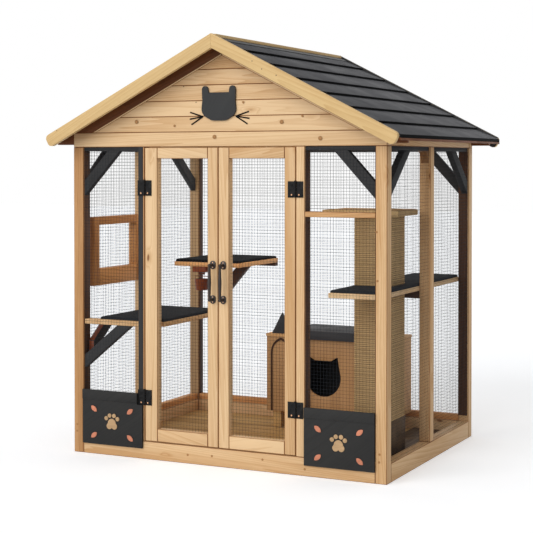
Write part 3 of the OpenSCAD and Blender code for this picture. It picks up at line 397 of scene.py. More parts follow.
def fibre_effect(net, source):
    """Short fibres that lie all ways, as in felt."""
    place = source["Place"]
    masks = []
    for i, stretch in enumerate(((900.0, 180.0, 500.0), (180.0, 900.0, 500.0), (620.0, 640.0, 300.0))):
        moved = net.vector("ADD", net.stretch(place, stretch), (7.0 * i, 3.0, 1.0))
        masks.append(net.noise(moved, 1.0, 3.0, 0.7))
    lint = net.math("MAXIMUM", net.math("MAXIMUM", masks[0], masks[1]), masks[2])
    patches = net.noise(place, 14.0, 3.0)
    return net.times_plus(patches, 0.35, net.between(lint, 0.45, 0.8), clamp=True), lint


def twist_effect(net, source):
    """Twisted strands of a plant fibre matting, along the first of two coordinates in metres."""
    parts = net.node("ShaderNodeSeparateXYZ", {0: source["Place"]}).outputs
    lean = net.times_plus(parts[1], 1.7, parts[0])
    strand = net.math("SINE", net.times(lean, 1250.0))
    strand = net.times_plus(strand, 0.5, 0.5)
    hair = net.noise(net.stretch(source["Place"], (260.0, 1500.0, 900.0)), 1.0, 3.0, 0.7)
    uneven = net.noise(source["Place"], 22.0, 3.0)
    mask = net.times_plus(strand, 0.25, net.times(hair, 0.45))
    mask = net.times_plus(uneven, 0.35, mask, clamp=True)
    return mask, net.times_plus(strand, 0.5, hair)


def build_effects():
    """The shader node groups that the materials share."""
    board = {"Place": VECTOR, "Board": VALUE, "Knots": VALUE, "Rings": VALUE, "Contrast": VALUE}
    board.update({"Light": SHADE, "Dark": SHADE, "Knot": SHADE})
    spots = {"Place": VECTOR, "Patches": VALUE, "Specks": VALUE}
    surface = {"Mask": VALUE, "Height": VALUE}
    effect("Board grain", board, {"Color": SHADE, "Height": VALUE, "Tone": VALUE}, grain_effect)
    effect("Patches and specks", spots, surface, cloud_effect)
    effect("Hammered dents", {"Place": VECTOR, "Scale": VALUE}, {"Height": VALUE}, dent_effect)
    effect("Felt fibres", {"Place": VECTOR}, surface, fibre_effect)
    effect("Twisted strands", {"Place": VECTOR}, surface, twist_effect)


def new_material(name):
    """Empty node material with its shader."""
    material = bpy.data.materials.new(name)
    material.use_nodes = True
    return material, Net(material.node_tree), material.node_tree.nodes["Principled BSDF"]


def use_effect(net, name, **inputs):
    """Places a shared effect in a material and gives its outputs."""
    return net.node("ShaderNodeGroup", inputs, node_tree=bpy.data.node_groups[name]).outputs


def board_grain(net, **inputs):
    """Grain along the board that a piece is made of."""
    place = net.attribute("grain", "Vector")
    return use_effect(net, "Board grain", Place=place, Board=net.attribute("board"), **inputs)


def mottle(net, large, small):
    """Large and small patches, so many of them in a metre."""
    return use_effect(net, "Patches and specks", Place=net.object_place(), Patches=large, Specks=small)


def brighter(shade, factor, lift=0.0):
    """A colour times a factor, with some white added."""
    return tuple(min(1.0, c * factor + lift) for c in shade)


def coat(net, shader, shade, mask, roughness, gloss, height, relief, depth):
    """Feeds a shader with a colour, a roughness that follows the mask, a gloss and a relief."""
    net.put(shader, "Base Color", shade)
    net.put(shader, "Roughness", net.between(mask, 0.0, 1.0, *roughness))
    net.put(shader, "Specular IOR Level", gloss)
    bump = net.node("ShaderNodeBump", {"Height": height, "Strength": relief, "Distance": depth})
    net.put(shader, "Normal", bump.outputs[0])


def wood_material(name, light, dark, knot, knots, rings=150.0, contrast=1.0, roughness=(0.5, 0.66)):
    """Timber whose grain follows each board."""
    material, net, shader = new_material(name)
    grain = board_grain(net, Knots=knots, Rings=rings, Contrast=contrast, Light=light, Dark=dark, Knot=knot)
    coat(net, shader, grain["Color"], grain["Tone"], roughness, 0.2, grain["Height"], 0.35, 0.0004)
    return material


def paint_material(name, shade, spread=0.16, depth=0.0005):
    """Paint that lets the grain of its board show as relief."""
    material, net, shader = new_material(name)
    pale = brighter(shade, 1 + spread, 0.004)
    deep = brighter(shade, 1 - spread)
    grain = board_grain(net, Knots=0.12, Rings=120.0, Contrast=0.9, Light=pale, Dark=deep, Knot=deep)
    cloud = mottle(net, 7.0, 260.0)
    worn = net.mix(net.times(cloud["Mask"], 0.3), grain["Color"], brighter(shade, 1.5, 0.01))
    coat(net, shader, worn, cloud["Mask"], (0.52, 0.7), 0.15, grain["Height"], 0.5, depth)
    return material


def metal_material(name, shade, dents, roughness, depth, gloss):
    """Painted or bare metal with a hammered or drawn surface."""
    material, net, shader = new_material(name)
    hammered = use_effect(net, "Hammered dents", Place=net.object_place(), Scale=dents)
    cloud = mottle(net, 30.0, 500.0)
    mottled = net.mix(cloud["Mask"], shade, brighter(shade, 1.6, 0.004))
    coat(net, shader, mottled, cloud["Mask"], roughness, gloss, hammered["Height"], 0.4, depth)
    return material


def felt_material(name, shade, pale):
    """Needled felt."""
    material, net, shader = new_material(name)
    felt = use_effect(net, "Felt fibres", Place=net.object_place())
    flecked = net.mix(felt["Mask"], shade, pale)
    coat(net, shader, flecked, felt["Mask"], (0.9, 1.0), 0.1, felt["Height"], 0.6, 0.0012)
    return material


def sisal_material(name, shade, deep):
    """Ribbed plant fibre matting, on the piece's own map in metres."""
    material, net, shader = new_material(name)
    twist = use_effect(net, "Twisted strands", Place=net.node("ShaderNodeUVMap", uv_map="weave").outputs[0])
    # The hollows between the ribs get the darker colour, painted shade, and the crests the lighter one
    crest = net.times_plus(net.attribute("crest"), 0.75, -0.2)
    mask = net.times_plus(twist["Mask"], 0.7, crest, clamp=True)
    coat(net, shader, net.mix(mask, deep, shade), mask, (0.98, 0.86), 0.5, twist["Height"], 0.6, 0.0009)
    return material


def build_materials():
    """Every finish of the enclosure by its name."""
    build_effects()
    timber, paint, metal, fabric = (settings(part) for part in ("timber", "paint", "metal", "fabric"))
    made = {}
    for name, (label, _, _, more) in WOODS.items():
        light, dark = getattr(timber, name + "_light"), getattr(timber, name + "_dark")
        knot = timber.knot if name == "pine" else dark
        made[name] = wood_material(label, light, dark, knot, **more)
    for name, (label, _, more) in PAINTS.items():
        made[name] = paint_material(label, getattr(paint, name), **more)
    for name, (label, _, *more) in METALS.items():
        made[name] = metal_material(label, getattr(metal, name), *more)
    made["grey_felt"] = felt_material("Grey felt", fabric.felt, fabric.felt_light)
    made["shaded_felt"] = felt_material("Dark felt", fabric.dark_felt, fabric.felt)
    made["sisal"] = sisal_material("Sisal matting", fabric.sisal, fabric.sisal_hollow_shade)
    made["shaded_sisal_top"] = sisal_material("Worn matting", fabric.worn, fabric.sisal_hollow_shade)
    return made


def finish(name):
    """A finish, made the first time that one is asked for."""
    if not MATERIALS:
        MATERIALS.update(build_materials())
    return MATERIALS[name]


MATERIALS = {}


# Mesh work


def solids(node):
    """The closed solids of a CAD node, each a list of triangles, in the order in which it stores them."""
    mesh = frame["nodes"][node].data
    points = [tuple(round(c, 6) for c in v.co) for v in mesh.vertices]
    found, faces, unmatched = [], [], {}
    for polygon in mesh.polygons:
        corners = [points[i] for i in polygon.vertices]
        faces.append(corners)
        for a, b in zip(corners, corners[1:] + corners[:1]):
            if unmatched.get((b, a)):
                unmatched[b, a] -= 1
                if not unmatched[b, a]:
                    del unmatched[b, a]
            else:
                unmatched[a, b] = unmatched.get((a, b), 0) + 1
        if not unmatched:
            found.append(faces)
            faces = []
    if faces:
        found.append(faces)
    return found


def solid_mesh(faces):
    """One solid as an editable mesh with flat faces joined."""
    bm = bmesh.new()
    points = {}
    for corners in faces:
        loop = []
        for c in corners:
            if c not in points:
                points[c] = bm.verts.new(c)
            loop.append(points[c])
        if len(set(loop)) == 3 and not bm.faces.get(loop):
            bm.faces.new(loop)
    bmesh.ops.dissolve_limit(bm, angle_limit=math.radians(0.6), verts=bm.verts[:], edges=bm.edges[:])
    return bm


def round_edges(bm, radius, slot):
    """Rounds the sharp edges and gives the rounded strips a slot."""
    sharp = [e for e in bm.edges if len(e.link_faces) == 2 and e.calc_face_angle(0) > SHARP]
    if sharp and radius > 0:
        made = bmesh.ops.bevel(
            bm, geom=sharp, offset=radius, segments=2, profile=0.5, affect="EDGES", clamp_overlap=True
        )
        for face in made["faces"]:
            face.material_index = slot


SHARP = math.radians(30)


def board_axes(bm, along):
    """Directions of a board's length, which is along or else its longest edge, its width and thickness."""
    if along is None:
        edge = max(bm.edges, key=lambda e: e.calc_length())
        along = (edge.verts[1].co - edge.verts[0].co).normalized()
    along = Vector(along).normalized()
    if max(along, key=abs) < 0:
        along = -along
    broad = max(bm.faces, key=lambda f: f.calc_area() * (1 - abs(f.normal.dot(along))))
    flat = broad.normal - along * broad.normal.dot(along)
    flat.normalize()
    return along, flat.cross(along), flat


def set_attribute(mesh, name, kind, values):
    """Gives each point of a mesh a value or a vector."""
    data = mesh.attributes.new(name, kind, "POINT").data
    data.foreach_set("value" if kind == "FLOAT" else "vector", np.array(values, "f").ravel())


def smoothed(mesh, finishes, degrees):
    """The mesh with its finishes, smooth but for edges sharper than an angle."""
    for name in finishes:
        mesh.materials.append(finish(name))
    mesh.shade_smooth()
    mesh.set_sharp_from_angle(angle=math.radians(degrees))
    return mesh


def mesh_of(bm, name, finishes, degrees):
    """The smoothed mesh of an edited one, which is freed."""
    mesh = bpy.data.meshes.new(name)
    bm.to_mesh(mesh)
    bm.free()
    return smoothed(mesh, finishes, degrees)


def settle(mesh, body, replaces):
    """Makes an object of a mesh, ties it to its body and hides the CAD nodes that it stands for."""
    piece = bpy.data.objects.new(mesh.name, mesh)
    bpy.context.scene.collection.objects.link(piece)
    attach(piece, body)
    if replaces:
        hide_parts(*replaces)
    return piece


def extent(faces):
    """Lowest and highest corner of a solid."""
    points = np.array([c for corners in faces for c in corners])
    return points.min(0), points.max(0)


def body_of(node):
    """The body that a CAD node belongs to."""
    return frame["nodes"][node]["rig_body"]


def slot_of(node):
    """The material slot that the record gives a CAD node."""
    return next(s["material_slot"] for s in frame["record"]["subparts"] if s["node"] == node)


def dress(node, material=None, rounding=None, along=None, pick=None, pick_face=None, more=(), edge_slot=0):
    """Replaces a node with copies of its solids that have rounded edges and their own grain.

    The grain runs along the longest edge, or as along says. The pieces have the node's own finish or the
    one that material names, and pick and pick_face choose one of more for a solid or a face by its number.
    The rounded strips have the one numbered edge_slot.
    """
    name = node + "_dressed"
    dice = random.Random(name)
    radius = settings("timber").rounding if rounding is None else rounding
    points, faces, places, tones, slots = [], [], [], [], []
    for i, triangles in enumerate(solids(node)):
        bm = solid_mesh(triangles)
        run = board_axes(bm, along)[0]
        if pick_face:
            for face in bm.faces:
                face.material_index = pick_face(i, face)
        round_edges(bm, radius, edge_slot)
        axes = board_axes(bm, run)
        middle = sum((v.co for v in bm.verts), Vector()) / len(bm.verts)
        offset = Vector([dice.uniform(-20, 20), dice.uniform(-0.05, 0.05), dice.uniform(-0.05, 0.05)])
        tones += [dice.random()] * len(bm.verts)
        start = len(points)
        bm.verts.index_update()
        for v in bm.verts:
            place = v.co - middle
            points.append(v.co[:])
            places.append((Vector([place.dot(a) for a in axes]) + offset)[:])
        for face in bm.faces:
            faces.append([start + v.index for v in face.verts])
            slots.append(face.material_index or (pick(i) if pick else 0))
        bm.free()
    mesh = bpy.data.meshes.new(name)
    mesh.from_pydata(points, [], faces)
    set_attribute(mesh, "grain", "FLOAT_VECTOR", places)
    set_attribute(mesh, "board", "FLOAT", tones)
    smoothed(mesh, [material or slot_of(node), *more], 32)
    mesh.polygons.foreach_set("material_index", slots)
    mesh.update()
    return settle(mesh, body_of(node), [node])


# Geometry node trees


def new_tree(name, inputs):
    """Geometry node tree with named inputs: its net and what its inputs put out."""
    tree = bpy.data.node_groups.new(name, "GeometryNodeTree")
    for label, value in (("Geometry", None), *inputs.items(), ("Material", None)):
        kind = label if value is None else "Vector" if isinstance(value, tuple) else "Float"
        socket = tree.interface.new_socket(label, in_out="INPUT", socket_type="NodeSocket" + kind)
        if value is not None:
            socket.default_value = value
    tree.interface.new_socket("Geometry", in_out="OUTPUT", socket_type="NodeSocketGeometry")
    net = Net(tree)
    return net, net.node("NodeGroupInput").outputs


def end_tree(net, shape, material):
    """Ends a tree in plain geometry with its material."""
    real = net.node("GeometryNodeRealizeInstances", {0: shape})
    painted = net.node("GeometryNodeSetMaterial", {"Geometry": real.outputs[0], "Material": material})
    net.put(net.node("NodeGroupOutput"), 0, painted.outputs[0])
    return net.tree


def wire_tree():
    """Welded wire in a panel that starts at a corner and runs along X and Z before it is turned."""
    inputs = {"Width": 1.0, "Height": 1.0, "Pitch": 0.015, "Thickness": 0.001}
    inputs.update({"Corner": (0.0, 0.0, 0.0), "Turn": 0.0})
    net, source = new_tree("Welded wire", inputs)
    both = net.node("GeometryNodeJoinGeometry")
    radius = net.times(source["Thickness"], 0.5)
    uprights = ("Width", "Height", 0, -0.5, 0.0)
    level_wires = ("Height", "Width", 2, 0.5, math.pi / 2)
    for run, reach, axis, layer, turn in (uprights, level_wires):
        count = net.math("FLOOR", net.math("DIVIDE", source[run], source["Pitch"]))
        span = net.times(net.math("SUBTRACT", count, 1.0), source["Pitch"])
        margin = net.times(net.math("SUBTRACT", source[run], span), 0.5)
        half = net.times(source[reach], 0.5)
        depth = net.times(source["Thickness"], layer)
        start = net.node("ShaderNodeCombineXYZ", {axis: margin, 2 - axis: half, 1: depth}).outputs[0]
        step = net.node("ShaderNodeCombineXYZ", {axis: source["Pitch"]}).outputs[0]
        line = net.node("GeometryNodeMeshLine", {"Count": count, "Start Location": start, "Offset": step})
        rod = net.node("GeometryNodeMeshCylinder", {"Vertices": 6, "Radius": radius, "Depth": source[reach]})
        turned = net.node("GeometryNodeTransform", {"Geometry": rod.outputs[0], "Rotation": (0.0, turn, 0.0)})
        rods = {"Points": line.outputs[0], "Instance": turned.outputs[0]}
        net.put(both, 0, net.node("GeometryNodeInstanceOnPoints", rods).outputs[0])
    rotation = net.node("ShaderNodeCombineXYZ", {2: source["Turn"]}).outputs[0]
    panel = {"Geometry": both.outputs[0], "Translation": source["Corner"], "Rotation": rotation}
    return end_tree(net, net.node("GeometryNodeTransform", panel).outputs[0], source["Material"])


def stud_tree():
    """Domed heads on the points of a mesh, each turned to the point's facing."""
    net, source = new_tree("Domed heads", {"Radius": 0.003, "Rise": 0.0012})
    ball = net.node("GeometryNodeMeshUVSphere", {"Segments": 12, "Rings": 6, "Radius": 1.0}).outputs[0]
    sizes = {0: source["Radius"], 1: source["Radius"], 2: source["Rise"]}
    size = net.node("ShaderNodeCombineXYZ", sizes).outputs[0]
    head = net.node("GeometryNodeTransform", {"Geometry": ball, "Scale": size}).outputs[0]
    head = net.node("GeometryNodeSetShadeSmooth", {0: head}).outputs[0]
    facing = net.node("GeometryNodeInputNamedAttribute", {"Name": "facing"}, data_type="FLOAT_VECTOR")
    way = {"Vector": facing.outputs["Attribute"]}
    turn = net.node("FunctionNodeAlignRotationToVector", way, axis="Z").outputs[0]
    heads = {"Points": source["Geometry"], "Instance": head, "Rotation": turn}
    return end_tree(net, net.node("GeometryNodeInstanceOnPoints", heads).outputs[0], source["Material"])


def grown(tree, base, values):
    """The plain mesh that a tree makes of a base mesh with the given inputs."""
    holder = bpy.data.objects.new("grown", base)
    bpy.context.scene.collection.objects.link(holder)
    modifier = holder.modifiers.new("Tree", "NODES")
    modifier.node_group = tree
    for item in tree.interface.items_tree:
        if item.item_type == "SOCKET" and item.in_out == "INPUT" and item.name in values:
            modifier[item.identifier] = values[item.name]
    bpy.context.view_layer.update()
    evaluated = holder.evaluated_get(bpy.context.evaluated_depsgraph_get())
    mesh = bpy.data.meshes.new_from_object(evaluated)
    holder.modifiers.remove(modifier)
    bpy.data.objects.remove(holder)
    bpy.data.meshes.remove(base)
    painted = mesh.materials[-1]
    mesh.materials.clear()
    mesh.materials.append(painted)
    mesh.polygons.foreach_set("material_index", [0] * len(mesh.polygons))
    return mesh


def joined(name, meshes):
    """One mesh of several, with the first one's material."""
    bm = bmesh.new()
    for mesh in meshes:
        bm.from_mesh(mesh)
    result = bpy.data.meshes.new(name)
    bm.to_mesh(result)
    bm.free()
    result.materials.append(meshes[0].materials[0])
    return result


def studs(name, body, points, radius, rise, material):
    """Domed heads that face the front."""
    base = bpy.data.meshes.new(name)
    base.from_pydata(points, [], [])
    set_attribute(base, "facing", "FLOAT_VECTOR", [TO_FRONT] * len(points))
    tree = bpy.data.node_groups.get("Domed heads") or stud_tree()
    mesh = grown(tree, base, {"Radius": radius, "Rise": rise, "Material": finish(material)})
    mesh.name = name
    return settle(mesh, body, [])


TO_FRONT = (0.0, -1.0, 0.0)


# Pieces


def left_posts(i):
    """Finishes of the corner posts: the left wall's front one, its rear one and the others. The rear one's
    darker pine and the front one's darker amber are painted shade.
    """
    return {0: 3, 1: 2}.get(i, 0)


def arch_bracket(i):
    """Second finish for the bracket under the right wall's plate."""
    return 1 if i == 7 else 0


class ENCLOSURE_OT_walls(bpy.types.Operator):
    """Dress the posts, plates, rails and linings of the walls"""

    bl_idname = "enclosure.walls"
    bl_label = "Walls"

    def execute(self, context):
        for node in ("base_rails", "mid_posts", "door_jambs", "wall_plates"):
            dress(node, more=["seam"], edge_slot=1)
        dress("front_cross_rail", "amber_pine", more=["seam"], edge_slot=1)
        dress("corner_posts", pick=left_posts, more=["seam", "aged_pine", "amber_pine"], edge_slot=1)
        dress("sill_rails", "sill_wood")
        dress("dark_rails", rounding=0.001)
        # The dark linings on the posts' inner faces stand for the shade on those faces: painted shade
        dress("inner_linings", rounding=0.0008)
        dress("knee_braces", pick=arch_bracket, more=["brown_wood"])
        return {"FINISHED"}


class ENCLOSURE_OT_floor(bpy.types.Operator):
    """Dress the floor boards"""

    bl_idname = "enclosure.floor"
    bl_label = "Floor"

    def execute(self, context):
        dress("floor_deck", rounding=0.0012)
        return {"FINISHED"}


def paw_then_leaves(i):
    """Second finish for the leaves, which follow the five parts of a paw."""
    return 0 if i % 9 < 5 else 1


class ENCLOSURE_OT_panels(bpy.types.Operator):
    """Dress the kick panels and their figures"""

    bl_idname = "enclosure.panels"
    bl_label = "Kick panels"

    def execute(self, context):
        dress("kick_panels", "kick_paint", rounding=0.0015)
        dress("kick_motifs", "tan_paint", rounding=0.0006, pick=paw_then_leaves, more=["copper_paint"])
        return {"FINISHED"}


def whiskers(i):
    """Second finish for all but the head."""
    return 1 if i else 0


class ENCLOSURE_OT_gable(bpy.types.Operator):
    """Dress the gable boards and the cat head on them"""

    bl_idname = "enclosure.gable"
    bl_label = "Gables"

    def execute(self, context):
        dress("gable_boards", more=["seam"], edge_slot=1)
        dress("cat_plaque", "plaque", rounding=0.001, pick=whiskers, more=["lap_shadow_and_whiskers"])
        return {"FINISHED"}


DOWN_SLOPE = (0.89, -0.45)
NEARLY = 0.8


def lap_shadow_face(i, face):
    """Second finish, a painted shadow, for the faces of a roof board that look down the slope."""
    towards = abs(face.normal.x) * DOWN_SLOPE[0] + face.normal.z * DOWN_SLOPE[1]
    return 1 if towards > NEARLY else 0


def inner_side(i, face):
    """Second finish for the faces of a rear bargeboard that look forwards or up."""
    return 1 if face.normal.y < -0.5 or face.normal.z > 0.5 else 0


class ENCLOSURE_OT_roof(bpy.types.Operator):
    """Dress the roof's frame, deck, lapped boards, flashing, batten and bargeboards"""

    bl_idname = "enclosure.roof"
    bl_label = "Roof"

    def execute(self, context):
        dress("roof_frame")
        dress("roof_deck", "soffit", rounding=0.001)
        for node in ("left_roof_boards", "right_roof_boards"):
            # The lower edges and the rounded edges of the roof boards get a painted shadow
            dress(node, rounding=0.0026, pick_face=lap_shadow_face, more=["lap_shadow_and_whiskers"], edge_slot=1)
        dress("ridge_flashing", "flashing", rounding=0.0008)
        dress("ridge_batten", "honey")
        dress("bargeboards", "honey", rounding=0.004)
        dress("rear_bargeboards", "honey", rounding=0.004, pick_face=inner_side, more=["black_paint"])
        dress("gable_rafters", "soffit")
        return {"FINISHED"}


class ENCLOSURE_OT_wire(bpy.types.Operator):
    """Weave the welded wire of the walls, the doors and the hatch"""

    bl_idname = "enclosure.wire"
    bl_label = "Wire"

    def execute(self, context):
        wire = settings("wire")
        tree = wire_tree()
        for place in ("front", "side", "rear", "left_door", "right_door", "hatch"):
            node = place + "_mesh"
            meshes = []
            for faces in solids(node):
                low, high = extent(faces)
                middle = (low + high) / 2
                size = high - low
                across = size[1] < size[0]
                values = {
                    "Width": float(size[0] if across else size[1]),
                    "Height": float(size[2]),
                    "Pitch": wire.pitch,
                    "Thickness": wire.thickness,
                    "Corner": (low[0], middle[1], low[2]) if across else (middle[0], low[1], low[2]),
                    "Turn": 0.0 if across else math.pi / 2,
                    "Material": finish("wire_mesh"),
                }
                meshes.append(grown(tree, bpy.data.meshes.new("panel"), values))
            settle(joined(node + "_wires", meshes), body_of(node), [node])
        return {"FINISHED"}


class ENCLOSURE_OT_doors(bpy.types.Operator):
    """Dress the frames of both doors and of the hatch"""

    bl_idname = "enclosure.doors"
    bl_label = "Doors"

    def execute(self, context):
        for node in ("left_door_frame", "right_door_frame"):
            dress(node, more=["seam"], edge_slot=1)
        for node in ("hatch_surround", "hatch_frame"):
            dress(node, "hatch_wood")
        return {"FINISHED"}


def red_front(i, face):
    """Second finish for the front of the brace at the left wall."""
    return 1 if i == 1 and face.normal.y < -0.3 else 0


class ENCLOSURE_OT_shelves(bpy.types.Operator):
    """Dress the shelves and what carries them"""

    bl_idname = "enclosure.shelves"
    bl_label = "Shelves"

    def execute(self, context):
        for node in ("left_shelf_board", "right_shelf_board", "rear_shelf_supports", "right_shelf_bearer"):
            dress(node)
        dress("rear_shelf_board", "sill_wood")
        dress("left_shelf_braces", pick_face=red_front, more=["red_wood"])
        return {"FINISHED"}


# Felt mats: places across a rounded edge, then the cell's stretch inside, and rises, tucks and their reach
FIRST_STEPS = (0.0, 0.12, 0.3, 0.6)
GRID_STRETCH = 2.5
CROWN_REACH = 0.09
SWELL = 0.0006
SWELL_REACH = 0.02
SWELL_WAVES = (18, 18, 9)
TUCK = 0.0003
TUCK_REACH = 0.003
FLAT = 1e-5


def border_of(faces):
    """Start and end points of the edges round the underside of a flat solid."""
    floor = extent(faces)[0][2]
    edges = {}
    for corners in faces:
        if all(abs(c[2] - floor) < FLAT for c in corners):
            flat = [c[:2] for c in corners]
            for edge in zip(flat, flat[1:] + flat[:1]):
                edges[frozenset(edge)] = edges.get(frozenset(edge), 0) + 1
    border = [tuple(edge) for edge, times in edges.items() if times == 1]
    return np.array([a for a, _ in border]), np.array([b for _, b in border])


def is_inside(x, y, starts, ends):
    """Tells whether a point lies within a border."""
    odd = False
    for (x0, y0), (x1, y1) in zip(starts, ends):
        if (y0 > y) != (y1 > y) and x < (x1 - x0) * (y - y0) / (y1 - y0) + x0:
            odd = not odd
    return odd


def gap_to(x, y, starts, ends):
    """Distance of a point from a border."""
    run = ends - starts
    share = np.clip(((np.array([x, y]) - starts) * run).sum(1) / (run * run).sum(1), 0, 1)
    return float(np.hypot(*(starts + run * share[:, None] - [x, y]).T).min())


def grid_lines(stops, fabric):
    """Places of the lines of a grid, close together where an edge is rounded."""
    radius = fabric.edge
    found = [stops[-1]]
    for a, b in zip(stops, stops[1:]):
        found += [a + radius * part for part in FIRST_STEPS]
        found += [b - radius * part for part in FIRST_STEPS[1:]]
        inner = b - a - 2 * radius
        steps = max(1, round(inner / (fabric.cell * GRID_STRETCH)))
        found += [a + radius + inner * i / steps for i in range(steps + 1)]
    return sorted(set(found))


def waver(place, waves):
    """Smooth noise at a place, with so many waves in a metre along each axis."""
    return noise.noise(Vector([a * b for a, b in zip(place, waves)]))


def mat_heights(x, y, gap, low, high, fabric):
    """Heights of a felt mat's top and underside at a distance from its edge."""
    roll = fabric.edge - math.sqrt(max(0.0, fabric.edge**2 - max(0.0, fabric.edge - gap) ** 2))
    crown = fabric.crown * min(1.0, gap / CROWN_REACH) ** 0.5 - fabric.crown
    swell = SWELL * waver((x, y, low), SWELL_WAVES) * min(1.0, gap / SWELL_REACH)
    return high - roll + crown + swell, low + TUCK * max(0.0, 1 - gap / TUCK_REACH)


def mat_mesh(name, faces, fabric, material):
    """A felt mat with round edges and a slight crown, in the space of a flat solid."""
    low, high = extent(faces)
    border = border_of(faces)
    xs, ys = (
        grid_lines(sorted({round(float(p[axis]), 5) for p in (*border[0], *border[1])}), fabric)
        for axis in (0, 1)
    )
    bm = bmesh.new()
    tops, bases = {}, {}
    for i, (x0, x1) in enumerate(zip(xs, xs[1:])):
        for j, (y0, y1) in enumerate(zip(ys, ys[1:])):
            if not is_inside((x0 + x1) / 2, (y0 + y1) / 2, *border):
                continue
            loop = [(i, j), (i + 1, j), (i + 1, j + 1), (i, j + 1)]
            for key in loop:
                if key not in tops:
                    x, y = xs[key[0]], ys[key[1]]
                    top, base = mat_heights(x, y, gap_to(x, y, *border), low[2], high[2], fabric)
                    tops[key] = bm.verts.new((x, y, top))
                    bases[key] = bm.verts.new((x, y, base))
            bm.faces.new([tops[k] for k in loop])
            bm.faces.new([bases[k] for k in reversed(loop)])
    below = {v: bases[k] for k, v in tops.items()}
    for edge in [e for e in bm.edges if len(e.link_faces) == 1]:
        a, b = edge.verts
        if a in below and b in below:
            first, second = (a, b) if edge.link_loops[0].vert == a else (b, a)
            bm.faces.new([second, first, below[first], below[second]])
    return mesh_of(bm, name, [material], 50)


class ENCLOSURE_OT_mats(bpy.types.Operator):
    """Lay the felt mats on the shelves, and the dark floor mat that stands for the shade on the floor"""

    bl_idname = "enclosure.mats"
    bl_label = "Mats"

    def execute(self, context):
        for node in ("left_shelf_mat", "rear_shelf_mat", "right_shelf_mat"):
            # The rear shelf's mat gets the darker felt, painted shade
            felt = "shaded_felt" if node == "rear_shelf_mat" else "grey_felt"
            mesh = mat_mesh(node + "_felt", solids(node)[0], settings("fabric"), felt)
            piece = settle(mesh, body_of(node), [node])
        # The floor mat is a dark sheet that stands for the shade on the floor: painted shade
        dress("floor_mat", "shade_wood", rounding=0.001)
        return {"FINISHED"}


# Ribbed matting on the column and its platform
SLEEVE_CORNER = 0.014
SLEEVE_WALL = 0.0085
FLAT_STEPS = 8
ARC_STEPS = 5
ROWS_PER_RIB = 4
SLEEVE_SWAY = 0.0022
SLEEVE_WAVES = (26, 26, 30)
LUMP = 0.0006
LUMP_WAVES = (90, 90, 110)
SLAB_CORNER = 0.006
SLAB_SWAY = 0.0025
SLAB_WAVES = (24, 24, 24)
SLAB_STEP = 0.016
SLAB_DEPTH = 0.8
ON_FACE = 1e-6


def square_outline(half):
    """Points round a square with round corners, each with the way that it faces."""
    outline = []
    for side in range(4):
        c, s = math.cos(side * math.pi / 2), math.sin(side * math.pi / 2)
        core = half - SLEEVE_CORNER
        edge = [(half, (-1 + 2 * i / FLAT_STEPS) * core, 1.0, 0.0) for i in range(FLAT_STEPS)]
        for i in range(ARC_STEPS):
            nx, ny = math.cos(math.pi / 2 * i / ARC_STEPS), math.sin(math.pi / 2 * i / ARC_STEPS)
            edge.append((core + SLEEVE_CORNER * nx, core + SLEEVE_CORNER * ny, nx, ny))
        outline += [(x * c - y * s, x * s + y * c, nx * c - ny * s, nx * s + ny * c) for x, y, nx, ny in edge]
    return outline


def rib_wave(place, sway, fabric):
    """Height of the ribs at a place, from 0 in a hollow to 1 on a crest."""
    phase = (place + sway) / fabric.rib
    return abs(math.sin(math.pi * phase))


def sleeve_mesh(name, faces_list, fabric):
    """Ribbed matting round a square column, one closed sleeve for each solid."""
    bm = bmesh.new()
    crest = bm.verts.layers.float.new("crest")
    weave = bm.loops.layers.uv.new("weave")
    for faces in faces_list:
        low, high = extent(faces)
        middle = (low + high) / 2
        half = (high[0] - low[0]) / 2
        outline = square_outline(half)
        pairs = [(i, (i + 1) % len(outline)) for i in range(len(outline))]
        run = [0.0]
        for i, k in pairs:
            run.append(run[-1] + math.hypot(outline[k][0] - outline[i][0], outline[k][1] - outline[i][1]))
        rows = round((high[2] - low[2]) / fabric.rib) * ROWS_PER_RIB
        grid = []
        for row in range(rows + 1):
            z = low[2] + (high[2] - low[2]) * row / rows
            line = []
            for x, y, nx, ny in outline:
                wave = rib_wave(z, SLEEVE_SWAY * waver((x, y, z), SLEEVE_WAVES), fabric)
                lump = 0.5 + 0.5 * waver((x, y, z), LUMP_WAVES)
                sink = fabric.rib_depth * (1 - wave) + LUMP * (1 - lump)
                v = bm.verts.new((middle[0] + x - nx * sink, middle[1] + y - ny * sink, z))
                v[crest] = wave
                line.append(v)
            grid.append(line)
        for lower, upper in zip(grid, grid[1:]):
            for i, k in pairs:
                face = bm.faces.new([lower[i], lower[k], upper[k], upper[i]])
                for loop, u in zip(face.loops, (run[i], run[i + 1], run[i + 1], run[i])):
                    loop[weave].uv = (u, loop.vert.co.z)
        rims = []
        for z in (low[2], high[2]):
            scales = [(half - SLEEVE_WALL) / max(abs(x), abs(y)) for x, y, _, _ in outline]
            places = [(middle[0] + p[0] * s, middle[1] + p[1] * s, z) for p, s in zip(outline, scales)]
            rims.append([bm.verts.new(p) for p in places])
        foot, head = rims
        for i, k in pairs:
            bm.faces.new([grid[0][k], grid[0][i], foot[i], foot[k]])
            bm.faces.new([grid[-1][i], grid[-1][k], head[k], head[i]])
            bm.faces.new([head[i], head[k], foot[k], foot[i]])
    return mesh_of(bm, name, ["sisal"], 60)


